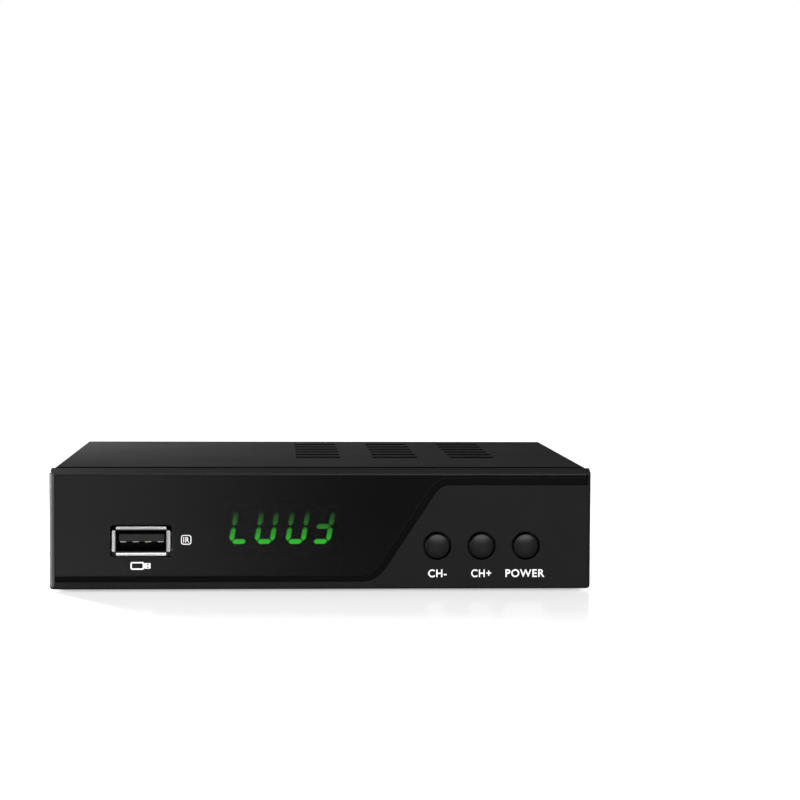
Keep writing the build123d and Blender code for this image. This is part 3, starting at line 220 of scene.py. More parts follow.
def height_along(tree, axis, low, high):
    """0 below the place `low` on an axis of the object and 1 above `high`, smooth between them."""
    return mapped(place_along(tree, axis), low, high, interpolation="SMOOTHSTEP")


def within(tree, axis, low, high, soft=0.05 * MM):
    """1 between two places on an axis of the object and 0 outside them."""
    return height_along(tree, axis, low - soft, low) * (1.0 - height_along(tree, axis, high, high + soft))


def two_colours(tree, factor, first, second):
    """Mixes two colours by a factor. Each is three numbers or an output of another node."""
    first, second = ((*c, 1) if isinstance(c, (tuple, list)) else c for c in (first, second))
    mix = add_node(tree, "ShaderNodeMix", {"data_type": "RGBA"}, Factor=factor, A=first, B=second)
    return mix.outputs["Result"]


def recolour(material, factor, colour):
    """Lays one more colour over what a material has, where the factor is 1."""
    tree = material.node_tree
    shader = tree.nodes["Principled BSDF"]
    under = shader.inputs["Base Color"].links[0].from_socket
    fill(tree, shader, Base_Color=two_colours(tree, factor, under, colour))


def tilt_light(tree, shader, height, depth):
    """Bumps the surface by a height value, depth metres from lowest to highest."""
    fill(tree, shader, Normal=add_node(tree, "ShaderNodeBump", Strength=1.0, Distance=depth, Height=height))


def plain_finish(name, colour, vary=0.15, rough=(0.45, 0.6), grain=0.3, depth=0.01, specular=0.5,
                 metallic=0.0, stretch=(1, 1, 1), drift=12.0):
    """A surface with a grain `grain` mm across and `depth` mm deep, and a slow drift of its colour."""
    material, tree, shader = new_material(name, Specular_IOR_Level=specular, Metallic=metallic)
    fine = object_noise(tree, grain * MM, stretch=stretch)
    slow = object_noise(tree, drift * MM, detail=4.0)
    darker = [c * (1 - vary) for c in colour]
    lighter = [min(1.0, c * (1 + vary)) for c in colour]
    fill(tree, shader, Base_Color=two_colours(tree, spread(slow, 0.0, 1.0), darker, lighter),
         Roughness=spread(fine, *rough))
    tilt_light(tree, shader, fine, depth * MM)
    return material


def dress(node_name, material):
    """Gives a carried-over frame piece its material."""
    data = nodes[node_name].data
    data.materials.clear()
    data.materials.append(material)


# %% [markdown]
# ## The metal of the case
#
# The cover and the chassis are folded steel, sprayed satin black: a fine orange-peel grain and a low
# sheen. Paint that is sprayed on dry has hardly any mirror, so its specular level is near zero. The
# cut front edge of the cover, which lies in the seam, and the cut walls of the cooling slots are
# painted nearly black as painted shade, which makes the seam and the slots look deep. A whole face
# of the mesh can take a second material, but the edge's painted shade is laid by its place along Y.

# %% Painted steel
# Painted shade: the cover is coloured nearly black at its cut front edge, in the seam, fading out between
# these depths.
EDGE_SHADE_FULL, EDGE_SHADE_END = 0.01 * MM, 0.05 * MM  # depths behind the cover's front edge
cover_low, cover_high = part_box("top_cover")
cover_paint = plain_finish("satin_black_paint", (0.0185, 0.0185, 0.0189), vary=0.08, rough=(0.5, 0.6),
                           grain=0.22, depth=0.004, specular=0.0001, drift=25.0)
past_seam_shade = height_along(cover_paint.node_tree, "Y", cover_low.y + EDGE_SHADE_FULL, cover_low.y + EDGE_SHADE_END)
# Painted shade in the seam: nearly black at the cover's front edge.
recolour(cover_paint, 1.0 - past_seam_shade, (0.001, 0.001, 0.001))
# Painted shade: a near-black material for the walls of the cooling slots and the pocket behind the window.
painted_shade_black = plain_finish("painted_shade_black", (0.0012, 0.0012, 0.0013), rough=(0.8, 0.9), grain=0.3,
                           depth=0.002, specular=0.0)
for name in ("top_cover", "bottom_chassis"):
    dress(name, cover_paint)

SLOT_AREA = 60 * MM  # the slots lie within this distance to each side of the middle
FRONT_MARGIN, REAR_MARGIN = 5 * MM, 3 * MM
SHEET_TOP, SHEET_UNDERSIDE = 0.01 * MM, 0.69 * MM  # just inside the faces of the sheet, from its top
UPRIGHT = 0.1  # a wall's normal has less than this along Z
# The walls of the cooling slots take the near-black painted shade.
cover_mesh = nodes["top_cover"].data
cover_mesh.materials.append(painted_shade_black)
for face in cover_mesh.polygons:
    x, y, z = face.center
    in_sheet = SHEET_TOP < cover_high.z - z < SHEET_UNDERSIDE
    inboard = abs(x) < SLOT_AREA and cover_low.y + FRONT_MARGIN < y < cover_high.y - REAR_MARGIN
    face.material_index = int(in_sheet and inboard and abs(face.normal.z) < UPRIGHT)
print("slot walls:", sum(face.material_index for face in cover_mesh.polygons))

# %% [markdown]
# ## The moulding of the front
#
# The front is a black moulding whose mould was eroded by sparks. Its fine texture scatters light
# evenly and looks soft. Four of its places differ. The groove round the window is deep, and its
# floor is painted darker as painted shade. The brow and the chamfers of the button holes are satin,
# because the mould is polished there. The rounded left end is glossier still, and it is painted
# lighter than the rest as a painted highlight of the light from that side. The pocket behind the
# window is painted near-black as painted shade, so that no light comes back from it. The groove's
# painted shade is laid by its place, in the material. The others are whole faces, so each face is
# asked where it is and which way it looks.

# %% Mouldings
bezel_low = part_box("front_bezel")[0]
panel_y, bezel_bottom = bezel_low.y, bezel_low.z
window_low, window_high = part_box("display_window")
GROOVE_WIDTH = 1.5 * MM
GROOVE_REACH = 69.2 * MM  # to each side of the middle
# The groove's painted shade starts at the first depth and is full at the second.
GROOVE_WALL, GROOVE_FLOOR = 0.35 * MM, 0.7 * MM  # depths behind the panel's face


def textured_moulding():
    """Spark-eroded black plastic, with painted shade that darkens the groove round the window."""
    material = plain_finish("textured_black_moulding", (0.0108, 0.0108, 0.0112), vary=0.06,
                            rough=(0.55, 0.7), grain=0.28, depth=0.014, specular=0.015)
    tree = material.node_tree
    field = within(tree, "X", -GROOVE_REACH, GROOVE_REACH)
    field = field * within(tree, "Z", window_low.z - GROOVE_WIDTH, window_high.z)
    groove_painted_shade = field * height_along(tree, "Y", panel_y + GROOVE_WALL, panel_y + GROOVE_FLOOR)
    # Painted shade: the groove round the window is coloured darker.
    recolour(material, groove_painted_shade, (0.0028, 0.0028, 0.003))
    return material


rubber_black = plain_finish("matt_rubber", (0.018, 0.018, 0.018), rough=(0.75, 0.9), grain=0.5,
                            depth=0.02, specular=0.25)
satin_rim = plain_finish("satin_rim", (0.0100, 0.0100, 0.0105), vary=0.05, rough=(0.42, 0.48),
                         grain=0.3, depth=0.003, specular=0.12)
# Painted highlight: the left end is coloured lighter than the rest of the moulding, as if lit from that side,
# and it is glossier too.
painted_highlight_end = plain_finish("painted_highlight_end", (0.0180, 0.0180, 0.0185), vary=0.05, rough=(0.46, 0.50),
                          grain=0.3, depth=0.003, specular=0.30)
dress("rubber_feet", rubber_black)
dress("front_bezel", textured_moulding())
bezel_mesh = nodes["front_bezel"].data
for material in (satin_rim, painted_shade_black, painted_highlight_end):
    bezel_mesh.materials.append(material)

# %% Places on the moulding
PANEL, RIM, POCKET, LEFT_END = range(4)  # the order of the bezel's materials
KEYS = ("channel_down", "channel_up", "power")
FLANGE_RADIUS = 4.5 * MM  # of a button, hidden behind the panel
CHAMFER_RADIUS, CHAMFER_DEPTH = 4.2 * MM, 0.4 * MM  # from a button's axis, and behind the panel's face
END_X, END_FOOT = -68.5 * MM, 2 * MM  # the left end lies beyond this x and above this z
BROW_HALF, BROW_ABOVE_WINDOW = 0.5 * MM, 0.3 * MM  # half its height, and its middle above the window
RIM_DEPTH = 3.3 * MM  # brow and left end reach this far behind the panel's face
POCKET_DEPTHS = (1.0 * MM, 3.05 * MM)
POCKET_HEIGHTS = (3 * MM, window_high.z + 0.15 * MM)
POCKET_HALF = 68.7 * MM
FRONTWARD = -0.02  # a normal whose y is less than this looks to the front
LEFT_SLANT, BROW_SLANT, CHAMFER_SLANT = (-0.98, -0.05), (0.05, 0.88), (0.2, 0.95)  # these pass no flat face


def key_axis(key):
    """The place of a button's axis, across and up."""
    low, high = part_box(key + "_button")
    return (low.x + high.x) / 2, high.z - FLANGE_RADIUS


key_places = [key_axis(key) for key in KEYS]


def between(value, limits):
    """Whether a value lies between two limits."""
    return limits[0] < value < limits[1]


def place_on_bezel(centre, normal):
    """Which of the four finishes a face of the bezel has."""
    x, depth, z = centre.x, centre.y - panel_y, centre.z
    # The pocket's faces take the near-black painted shade.
    if between(depth, POCKET_DEPTHS) and abs(x) < POCKET_HALF and between(z, POCKET_HEIGHTS):
        return POCKET
    if depth < RIM_DEPTH and normal.y < FRONTWARD:
        if x < END_X and between(normal.x, LEFT_SLANT) and z > END_FOOT:
            return LEFT_END
        if abs(z - window_high.z - BROW_ABOVE_WINDOW) < BROW_HALF and between(normal.z, BROW_SLANT):
            return RIM
    near_key = min(math.hypot(x - key_x, z - key_z) for key_x, key_z in key_places) < CHAMFER_RADIUS
    on_chamfer = near_key and depth < CHAMFER_DEPTH and between(abs(normal.y), CHAMFER_SLANT)
    return RIM if on_chamfer else PANEL


for face in bezel_mesh.polygons:
    face.material_index = place_on_bezel(face.center, face.normal)
found = [face.material_index for face in bezel_mesh.polygons]
print("bezel faces: rims", found.count(RIM), "pocket", found.count(POCKET), "left end", found.count(LEFT_END))

# %% [markdown]
# ## The smoked window
#
# The window is a polished strip of smoked acrylic. Its smoke and a black mask printed on its back
# hide everything but the lit digits. Real smoke would be a volume that soaks up light, which costs
# many rays. Here the sheet is solid black with a faint shine, and only before the digits it lets 4 %
# of the light behind it through. The bars behind it glow that much brighter, so they look right from
# outside. Polished acrylic is nearly smooth, so its roughness is low and its bump is only the faint
# waviness of a moulded sheet.

# %% Smoked window
WINDOW_CLEAR = 0.04  # share of the light that comes through before the digits
DIGIT_MARGIN = 0.6 * MM  # clear edge round the digits
# The smoke's deepening to the right is painted light: the sheet is coloured lighter at its left end and
# darker up to this x.
PAINTED_LIGHT_END = 20 * MM  # the smoke deepens from the window's left end to this x
SMOKE_SOFT, PRINT_SOFT = 1.0 * MM, 0.05 * MM  # how softly the clear place ends in the smoke and the print
# The paler cut edge is a painted highlight: the edge is coloured lighter from these depths on.
FACE_END, EDGE_HIGHLIGHT_START = 0.02 * MM, 0.1 * MM  # depths where the face ends and the paler cut edge begins
WAVE_LENGTH, WAVE_DEPTH = 18 * MM, 0.001 * MM


def before_digits(tree, soft):
    """1 where the sheet lies before the digits and 0 elsewhere."""
    low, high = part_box("display_segments")
    margin = DIGIT_MARGIN + soft
    return (within(tree, "X", low.x - margin, high.x + margin, soft)
            * within(tree, "Z", low.z - margin, high.z + margin, soft))


def smoked_acrylic():
    """Polished smoked sheet, lighter before the digits, with painted light: lighter at the left end and
    darker to the right.
    """
    material, tree, shader = new_material("smoked_acrylic", Roughness=0.09, Specular_IOR_Level=0.042)
    # Painted light across the sheet: lighter colour at the left, darkening to the right.
    across = height_along(tree, "X", window_low.x, PAINTED_LIGHT_END)
    painted_light_smoke = two_colours(tree, across, (0.0103, 0.0103, 0.0105), (0.0003, 0.0003, 0.0004))
    painted_light_clear = two_colours(tree, across, (0.0109, 0.0109, 0.0111), (0.0005, 0.0005, 0.0006))
    clear = before_digits(tree, SMOKE_SOFT)
    fill(tree, shader, Base_Color=two_colours(tree, clear, painted_light_smoke, painted_light_clear),
         Alpha=1.0 - clear * WINDOW_CLEAR)
    # Painted highlight: the cut edge of the sheet is coloured lighter.
    edge = height_along(tree, "Y", panel_y + FACE_END, panel_y + EDGE_HIGHLIGHT_START)
    recolour(material, edge, (0.018, 0.018, 0.018))
    tilt_light(tree, shader, object_noise(tree, WAVE_LENGTH, detail=1.0), WAVE_DEPTH)
    return material


def masked_back():
    """The inner face of the sheet: a black masking print with a clear place for the digits."""
    material, tree, shader = new_material("window_inner_face", Roughness=0.8, Specular_IOR_Level=0.0)
    ink = spread(object_noise(tree, 2 * MM), 0, 1)
    fill(tree, shader, Base_Color=two_colours(tree, ink, (0.0008, 0.0008, 0.0008), (0.0012, 0.0012, 0.0012)),
         Alpha=1.0 - before_digits(tree, PRINT_SOFT))
    return material


dress("display_window", smoked_acrylic())
window_mesh = nodes["display_window"].data
window_mesh.materials.append(masked_back())
for face in window_mesh.polygons:
    face.material_index = int(face.normal.y > 0.9)
print("window:", [round(side / MM, 1) for side in window_high - window_low], "mm")

# %% [markdown]
# ## The lit digits
#
# Four digits of seven bars each sit behind the window. Only some bars are lit. The frame has all 28
# bars as one piece, so this piece is a copy of it whose bars are found one by one, as islands of
# joined faces, and told apart by where they lie in their digit. A ramp over the height lays painted
# shade on their glow, so that it falls off towards their top.

# %% Lit and dark bars
DIGIT_SLANT = math.tan(math.radians(9.8))
DIGIT_WIDTH, BAR_WIDTH, DIGIT_PITCH, COLON_SPACE = 5.2 * MM, 1.25 * MM, 6.55 * MM, 1.45 * MM
LIT_BARS = ("fed", "fbecd", "fbecd", "bgcd")
BAR_PLACES = {"a": (0, 1), "g": (0, 0), "d": (0, -1), "f": (-1, 0.5), "b": (1, 0.5),
              "e": (-1, -0.5), "c": (1, -0.5)}
# The fade towards the top is painted shade on the glow.
GLOW_PAINTED_FADE = ((0.06, 0.027, 0.42), (0.40, 0.018, 0.215), (0.58, 0.013, 0.112), (0.80, 0.008, 0.045),
        (0.97, 0.003, 0.006))  # share of the height, red and blue, green
display_low, display_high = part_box("display_segments")
digits_middle = (display_low + display_high) / 2
digits_tall = display_high.z - display_low.z


def merged(data):
    """A bmesh of mesh data whose loose triangles are joined, ready for more work."""
    mesh = bmesh.new()
    mesh.from_mesh(data)
    bmesh.ops.remove_doubles(mesh, verts=mesh.verts, dist=1e-7)
    return mesh


def written(mesh, data):
    """Writes a bmesh into mesh data and frees it."""
    mesh.to_mesh(data)
    mesh.free()
    return data


def glowing_bars():
    """Green light that is full at the foot of the digits, with painted shade that leaves it almost gone at
    their top.
    """
    material, tree, shader = new_material("lit_green_bars", Emission_Strength=1 / WINDOW_CLEAR,
                                          Base_Color=(0.01, 0.03, 0.01, 1), Roughness=0.5)
    height = mapped(place_along(tree, "Z"), display_low.z, display_high.z)
    ramp = add_node(tree, "ShaderNodeValToRGB", Fac=height)
    stops = ramp.color_ramp.elements
    while len(stops) < len(GLOW_PAINTED_FADE):
        stops.new(0.5)
    for stop, (position, red, green) in zip(stops, GLOW_PAINTED_FADE):
        stop.position, stop.color = position, (red, green, red, 1)
    fill(tree, shader, Emission_Color=ramp)
    return material


def bar_of(centre):
    """The digit and bar whose place lies nearest to the middle of an island of faces."""
    rise = centre.z - digits_middle.z
    upright_x = centre.x - rise * DIGIT_SLANT
    digit = min(range(len(columns)), key=lambda i: abs(upright_x - columns[i]))
    across = (upright_x - columns[digit]) / ((DIGIT_WIDTH - BAR_WIDTH) / 2)
    up = rise / ((digits_tall - BAR_WIDTH) / 2)
    return digit, min(BAR_PLACES, key=lambda b: math.dist(BAR_PLACES[b], (across, up)))


def islands(mesh):
    """Groups of faces that are joined to each other."""
    left, groups = set(mesh.faces), []
    while left:
        group, frontier = set(), [left.pop()]
        while frontier:
            face = frontier.pop()
            group.add(face)
            for edge in face.edges:
                fresh = left.intersection(edge.link_faces)
                left -= fresh
                frontier.extend(fresh)
        groups.append(group)
    return groups


columns = [digits_middle.x + step * DIGIT_PITCH + math.copysign(COLON_SPACE / 2, step)
           for step in (-1.5, -0.5, 0.5, 1.5)]
dark_bar = plain_finish("unlit_bars", (0.003, 0.0034, 0.003), rough=(0.5, 0.6), grain=0.1, depth=0.001,
                        specular=0.02)
mesh = merged(nodes["display_segments"].data)
lit = 0
for group in islands(mesh):
    digit, bar = bar_of(sum((face.calc_center_median() for face in group), Vector()) / len(group))
    for face in group:
        face.material_index = int(bar in LIT_BARS[digit])
    lit += bar in LIT_BARS[digit]
bars_data = nodes["display_segments"].data.copy()
bars_data.name = "display_bars"
bars_data.materials.clear()
for material in (dark_bar, glowing_bars()):
    bars_data.materials.append(material)
digit_bars = placed("display_bars", written(mesh, bars_data))
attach(digit_bars, "case")
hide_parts("display_segments")
print("lit bars:", lit)

# %% [markdown]
# ## Finishes of the buttons, sockets and inner parts
#
# Every other piece has one finish all over, so a dictionary from slot names to materials dresses
# them in one loop. Plated and bare metals are metallic with a low roughness, because a metal has no
# body colour, only a tinted mirror. Plastics keep a coloured body under a weak mirror. The button
# caps are nearly black, so almost all the light that they show is mirrored. Two finishes change with
# the place. The lips of the memory-stick socket are polished, and its throat is painted dark as
# painted shade. The front board's face is painted black as painted shade, where it could be seen
# through the openings.

# %% Small parts' finishes
# The dark throat is painted shade: the socket's metal is coloured dark from these depths inwards.
LIPS, THROAT_SHADE_FULL = 0.03 * MM, 0.2 * MM  # depths in the socket where its polish ends and its dark begins
# Painted shade: the board's front face is coloured black where it is seen through the openings.
BOARD_PAINTED_SHADE = (-42.0 * MM, -41.9 * MM)  # along Y: black before the first, bare behind the second
finishes = {
    "button_plastic": plain_finish("satin_button_plastic", (0.0005, 0.0005, 0.0005), vary=0.05,
                                   rough=(0.32, 0.34), grain=0.2, depth=0.001, specular=0.102),
    "switch_plastic": plain_finish("switch_plastic", (0.03, 0.03, 0.03)),
    "black_screw": plain_finish("black_oxide", (0.03, 0.03, 0.032), rough=(0.35, 0.5), metallic=0.6),
    "zinc_screw": plain_finish("bright_zinc", (0.55, 0.55, 0.56), rough=(0.25, 0.4), metallic=1.0),
    "display_plastic": plain_finish("display_black", (0.003, 0.003, 0.003), rough=(0.6, 0.8), specular=0.02),
    "infrared_epoxy": plain_finish("infrared_epoxy", (0.004, 0.003, 0.005), rough=(0.2, 0.3), specular=0.02),
    "nickel": plain_finish("nickel_plate", (0.33, 0.325, 0.31), vary=0.05, rough=(0.2, 0.3), grain=0.15,
                           depth=0.0003, metallic=1.0, stretch=(4, 1, 1)),
    "socket_plastic": plain_finish("socket_black", (0.013, 0.013, 0.013), rough=(0.5, 0.65), specular=0.1),
    "gilt_contact": plain_finish("gold_flash", (0.33, 0.32, 0.295), rough=(0.25, 0.35), metallic=1.0),
    "chip_epoxy": plain_finish("chip_epoxy", (0.02, 0.02, 0.021), rough=(0.55, 0.7)),
    "black_anodised": plain_finish("black_anodised", (0.03, 0.03, 0.031), rough=(0.4, 0.55), metallic=0.4),
    "crystal_can": plain_finish("crystal_can", (0.6, 0.6, 0.6), rough=(0.2, 0.35), metallic=1.0),
    "capacitor_sleeve": plain_finish("capacitor_sleeve", (0.03, 0.03, 0.05), rough=(0.25, 0.35)),
    "ferrite": plain_finish("ferrite", (0.05, 0.05, 0.053), rough=(0.6, 0.8)),
    "white_plastic": plain_finish("white_moulding", (0.72, 0.71, 0.67), rough=(0.4, 0.5), vary=0.05),
    "ribbon": plain_finish("grey_ribbon", (0.5, 0.5, 0.51), rough=(0.45, 0.55), vary=0.05),
    "tin_plate": plain_finish("tin_plate", (0.6, 0.6, 0.58), rough=(0.25, 0.4), metallic=1.0, drift=6.0),
    "yellow_plastic": plain_finish("yellow_moulding", (0.72, 0.5, 0.02), rough=(0.4, 0.5), vary=0.05),
    "red_plastic": plain_finish("red_moulding", (0.5, 0.02, 0.015), rough=(0.4, 0.5), vary=0.05),
    "board_laminate": plain_finish("green_laminate", (0.01, 0.08, 0.03), rough=(0.3, 0.45), vary=0.2),
}
laminate = finishes["board_laminate"]
# Painted shade on the front board's face.
recolour(laminate, 1.0 - height_along(laminate.node_tree, "Y", *BOARD_PAINTED_SHADE), (0.004, 0.004, 0.004))
usb_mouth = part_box("usb_shell")[0].y
usb_plate = plain_finish("polished_lips", (0.25, 0.25, 0.25), vary=0.05, rough=(0.2, 0.3), grain=0.15,
                         depth=0.001, metallic=1.0)
throat_painted_shade = height_along(usb_plate.node_tree, "Y", usb_mouth + LIPS, usb_mouth + THROAT_SHADE_FULL)
# Painted shade in the socket's throat.
recolour(usb_plate, throat_painted_shade, (0.03, 0.03, 0.03))
small_parts = [part for part in frame["record"]["subparts"] if part["material_slot"] in finishes]
for part in small_parts:
    dress(part["node"], finishes[part["material_slot"]])
dress("usb_shell", usb_plate)
print("small parts dressed:", len(small_parts))

# %% [markdown]
# ## Printed marks
#
# The words and pictograms of the front are white ink, pressed on with a soft pad. A picture of them
# laid over the moulding would blur up close. So each mark is a real film of ink, two hundredths of a
# millimetre thick. A word starts as a text curve and a pictogram as closed outlines. Blender fills
# and thickens the curve, and the film is then stretched to its measured place. The film's back
# stands just clear of the face, so that the two don't flicker through each other.

# %% Ink films
INK_THICK = 0.02 * MM
INK_BACK = 0.2  # where the film's back lies, as a share of its thickness
CURVE_EXTRUDE = 0.01  # only tells front from back, in the curve's own units
LETTER_BOLD, LETTER_SPACING = 0.018, 1.12
white_ink = plain_finish("white_ink", (0.82, 0.82, 0.82), vary=0.03, rough=(0.45, 0.6), grain=0.1,
                         depth=0.001)


def baked(item):
    """The finished mesh of a curve, or of an object with a modifier, as new mesh data."""
    bpy.context.view_layer.update()
    return bpy.data.meshes.new_from_object(item.evaluated_get(bpy.context.evaluated_depsgraph_get()))


def printed(name, curve, fit, face_y=panel_y, outwards=-1):
    """Turns a flat curve into a film of ink on a face. fit says where its x and y end up."""
    source = placed(name + "_outline", curve)
    data = baked(source)
    bpy.data.objects.remove(source)
    data.name = name
    xs, ys = [v.co.x for v in data.vertices], [v.co.y for v in data.vertices]
    across, up = fit(min(xs), max(xs), min(ys), max(ys))
    for vertex in data.vertices:
        x, y, z = vertex.co
        lift = INK_THICK * (INK_BACK + (1 - INK_BACK) * (z > 0))
        vertex.co = (across(x), face_y + outwards * lift, up(y))
    mesh = merged(data)
    bmesh.ops.recalc_face_normals(mesh, faces=mesh.faces)
    written(mesh, data)
    data.materials.clear()
    data.materials.append(white_ink)
    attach(placed(name, data), "case")


def printed_word(word, name, left, right, baseline, cap_height, bold=LETTER_BOLD, **face):
    """A word that fills the width from left to right and stands on a baseline."""
    curve = bpy.data.curves.new(name, "FONT")
    curve.body = word
    curve.offset = bold
    curve.space_character = LETTER_SPACING
    curve.extrude = CURVE_EXTRUDE

    def fit(x0, x1, y0, y1):
        return (lambda x: left + (x - x0) / (x1 - x0) * (right - left),
                lambda y: baseline + (y - y0) / (y1 - y0) * cap_height)

    printed(name, curve, fit, **face)


def printed_shape(name, outlines):
    """A pictogram from closed outlines in millimetres, where an outline inside another is a hole."""
    curve = bpy.data.curves.new(name, "CURVE")
    curve.dimensions = "2D"
    curve.fill_mode = "BOTH"
    curve.extrude = CURVE_EXTRUDE
    for outline in outlines:
        spline = curve.splines.new("POLY")
        spline.points.add(len(outline) - 1)
        for point, (x, z) in zip(spline.points, outline):
            point.co = (x, z, 0, 1)
        spline.use_cyclic_u = True
    printed(name, curve, lambda x0, x1, y0, y1: (lambda x: x * MM, lambda y: bezel_bottom + y * MM))


def rounded_box(x, z, wide, tall, radius, steps=5):
    """Outline of a rectangle with round corners about its middle."""
    points = []
    for quarter, (side, top) in enumerate(((1, 1), (-1, 1), (-1, -1), (1, -1))):
        for i in range(steps + 1):
            turn = math.radians(90 * quarter + 90 * i / steps)
            points.append((x + side * (wide / 2 - radius) + radius * math.cos(turn),
                           z + top * (tall / 2 - radius) + radius * math.sin(turn)))
    return points


# %% Marks of the front
LABEL_BASE, LABEL_TALL = bezel_bottom + 3.07 * MM, 2.05 * MM
LABELS = (("CH-", "channel_down_mark", 27.6, 32.4), ("CH+", "channel_up_mark", 38.8, 44.0),
          ("POWER", "power_mark", 47.75, 57.9))  # word, piece, left and right end in millimetres
for word, name, left, right in LABELS:
    printed_word(word, name, left * MM, right * MM, LABEL_BASE, LABEL_TALL)

IR_X, IR_Z = -34.92, 12.92  # across, and above the bezel's bottom edge
IR_LETTERS = ((IR_X - 0.72) * MM, (IR_X + 0.74) * MM, bezel_bottom + (IR_Z - 0.68) * MM, 1.36 * MM)
printed_shape("infrared_frame", [rounded_box(IR_X, IR_Z, 2.62, 2.46, 0.6),
                                 rounded_box(IR_X, IR_Z, 2.22, 2.06, 0.42)])
printed_word("IR", "infrared_mark", *IR_LETTERS, bold=0.0)

STICK_X, STICK_Z = -46.6, 6.2  # a memory stick: its body, its plug and the two holes in the plug
printed_shape("memory_stick_mark", [rounded_box(STICK_X - 0.85, STICK_Z, 3.5, 2.0, 0.45),
                                    rounded_box(STICK_X - 0.85, STICK_Z, 2.8, 1.3, 0.2),
                                    rounded_box(STICK_X + 1.75, STICK_Z, 1.6, 1.4, 0.15),
                                    rounded_box(STICK_X + 1.85, STICK_Z + 0.33, 0.5, 0.32, 0.05),
                                    rounded_box(STICK_X + 1.85, STICK_Z - 0.33, 0.5, 0.32, 0.05)])
print("words on the front:", len(LABELS) + 1)

# %% [markdown]
# ## The push buttons
#
# Each cap is turned: a shallow dome, a rounded rim, a straight side that slides in its hole, a
# flange behind the panel and a stem that reaches the switch. A lathe says this best. The outline
# from the middle of the dome to the tip of the stem is a short list of radii and depths, and every
# point of it is carried round the button's axis. A fine dome has enough rings for its gloss to run
# smoothly from top to bottom. A key under the flange keeps the cap from turning in its guide.

# %% Push buttons
CAP_RADIUS = 3.17 * MM
DOME_RISE = 0.36 * MM
CAP_RIM = 0.25 * MM
STEM_RADIUS = 1.9 * MM
FLANGE_DEPTH, FLANGE_THICK = 3.3 * MM, 0.8 * MM  # its front lies this deep behind the panel's face
KEY_HALF_WIDE = 0.8 * MM
KEY_SHARE = 0.98  # of the flange's thickness, so that no two faces lie in one plane
DOME_RINGS, RIM_RINGS, ROUND_STEPS = 12, 5, 72


def button_outline(front, back, flange_front):
    """Radius and depth of the cap from the middle of its dome to the tip of its stem."""
    half = CAP_RADIUS - CAP_RIM
    ball = (half ** 2 + DOME_RISE ** 2) / (2 * DOME_RISE)
    dome = [half * i / DOME_RINGS for i in range(1, DOME_RINGS + 1)]
    points = [(r, front + ball - math.sqrt(ball ** 2 - r ** 2)) for r in dome]
    first_turn = math.asin(half / ball)
    for i in range(1, RIM_RINGS + 1):
        turn = first_turn + (math.pi / 2 - first_turn) * i / RIM_RINGS
        outwards = (math.sin(turn) - math.sin(first_turn)) / (1 - math.sin(first_turn))
        backwards = math.cos(first_turn) - math.cos(turn)
        points.append((half + CAP_RIM * outwards, front + DOME_RISE + CAP_RIM * backwards))
    flange_back = flange_front + FLANGE_THICK
    return points + [(CAP_RADIUS, flange_front), (FLANGE_RADIUS, flange_front),
                     (FLANGE_RADIUS, flange_back), (STEM_RADIUS, flange_back), (STEM_RADIUS, back)]


def turned(mesh, outline, x, z, start, end):
    """Carries an outline round the axis through x and z, and closes it on the axis at both ends."""
    angles = [2 * math.pi * i / ROUND_STEPS for i in range(ROUND_STEPS)]
    rings = [[mesh.verts.new((x + radius * math.cos(a), depth, z + radius * math.sin(a))) for a in angles]
             for radius, depth in outline]
    for near, far in zip(rings, rings[1:]):
        for i in range(ROUND_STEPS):
            j = (i + 1) % ROUND_STEPS
            mesh.faces.new((near[i], near[j], far[j], far[i]))
    for ring, depth in ((rings[0], start), (rings[-1], end)):
        tip = mesh.verts.new((x, depth, z))
        for i in range(ROUND_STEPS):
            mesh.faces.new((tip, ring[i], ring[(i + 1) % ROUND_STEPS]))


def finished(mesh, name, slot, replaced, body="case", smooth_below=28.0):
    """Turns a bmesh into a finished piece that rides on a body and replaces a frame piece."""
    bmesh.ops.recalc_face_normals(mesh, faces=mesh.faces)
    piece = placed(name, written(mesh, bpy.data.meshes.new(name)))
    piece.data.materials.append(finishes[slot])
    piece.data.shade_smooth()
    piece.data.set_sharp_from_angle(angle=math.radians(smooth_below))
    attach(piece, body)
    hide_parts(replaced)


# %% Caps
for key in KEYS:
    low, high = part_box(key + "_button")
    x, z = key_axis(key)
    flange_front = panel_y + FLANGE_DEPTH
    mesh = bmesh.new()
    turned(mesh, button_outline(low.y, high.y, flange_front), x, z, low.y, high.y)
    tab_top = z - STEM_RADIUS
    for vertex in bmesh.ops.create_cube(mesh, size=2.0)["verts"]:
        sx, sy, sz = vertex.co
        vertex.co = (x + sx * KEY_HALF_WIDE, flange_front + FLANGE_THICK * (1 + KEY_SHARE * sy) / 2,
                     (tab_top + low.z) / 2 + sz * (tab_top - low.z) / 2)
    finished(mesh, key + "_cap", "button_plastic", key + "_button", body=key + "_key", smooth_below=35.0)
    print(key, "cap at", round(x / MM, 2), round(z / MM, 2))

# %% [markdown]
# ## Threads and screws from Geometry Nodes
#
# A thread is one rule said along a whole surface: the radius rises and falls once every pitch, and
# the rise moves on as the angle grows. Geometry Nodes can say that rule on a flat grid. One side of
# the grid runs along the screw, the other runs round it, and a Set Position node rolls it up. The
# sizes are named inputs, so the same tree makes any thread. `new_tree` makes a tree with named
# inputs and gives them as Numbers, `stepped` gives each column a corner of an outline, and `grown`
# runs a tree on an object and gives back a plain mesh.

# %% Tree helpers
THREAD_SLOPE = 1.5  # of its flanks, where 1 would leave neither flat crests nor flat roots


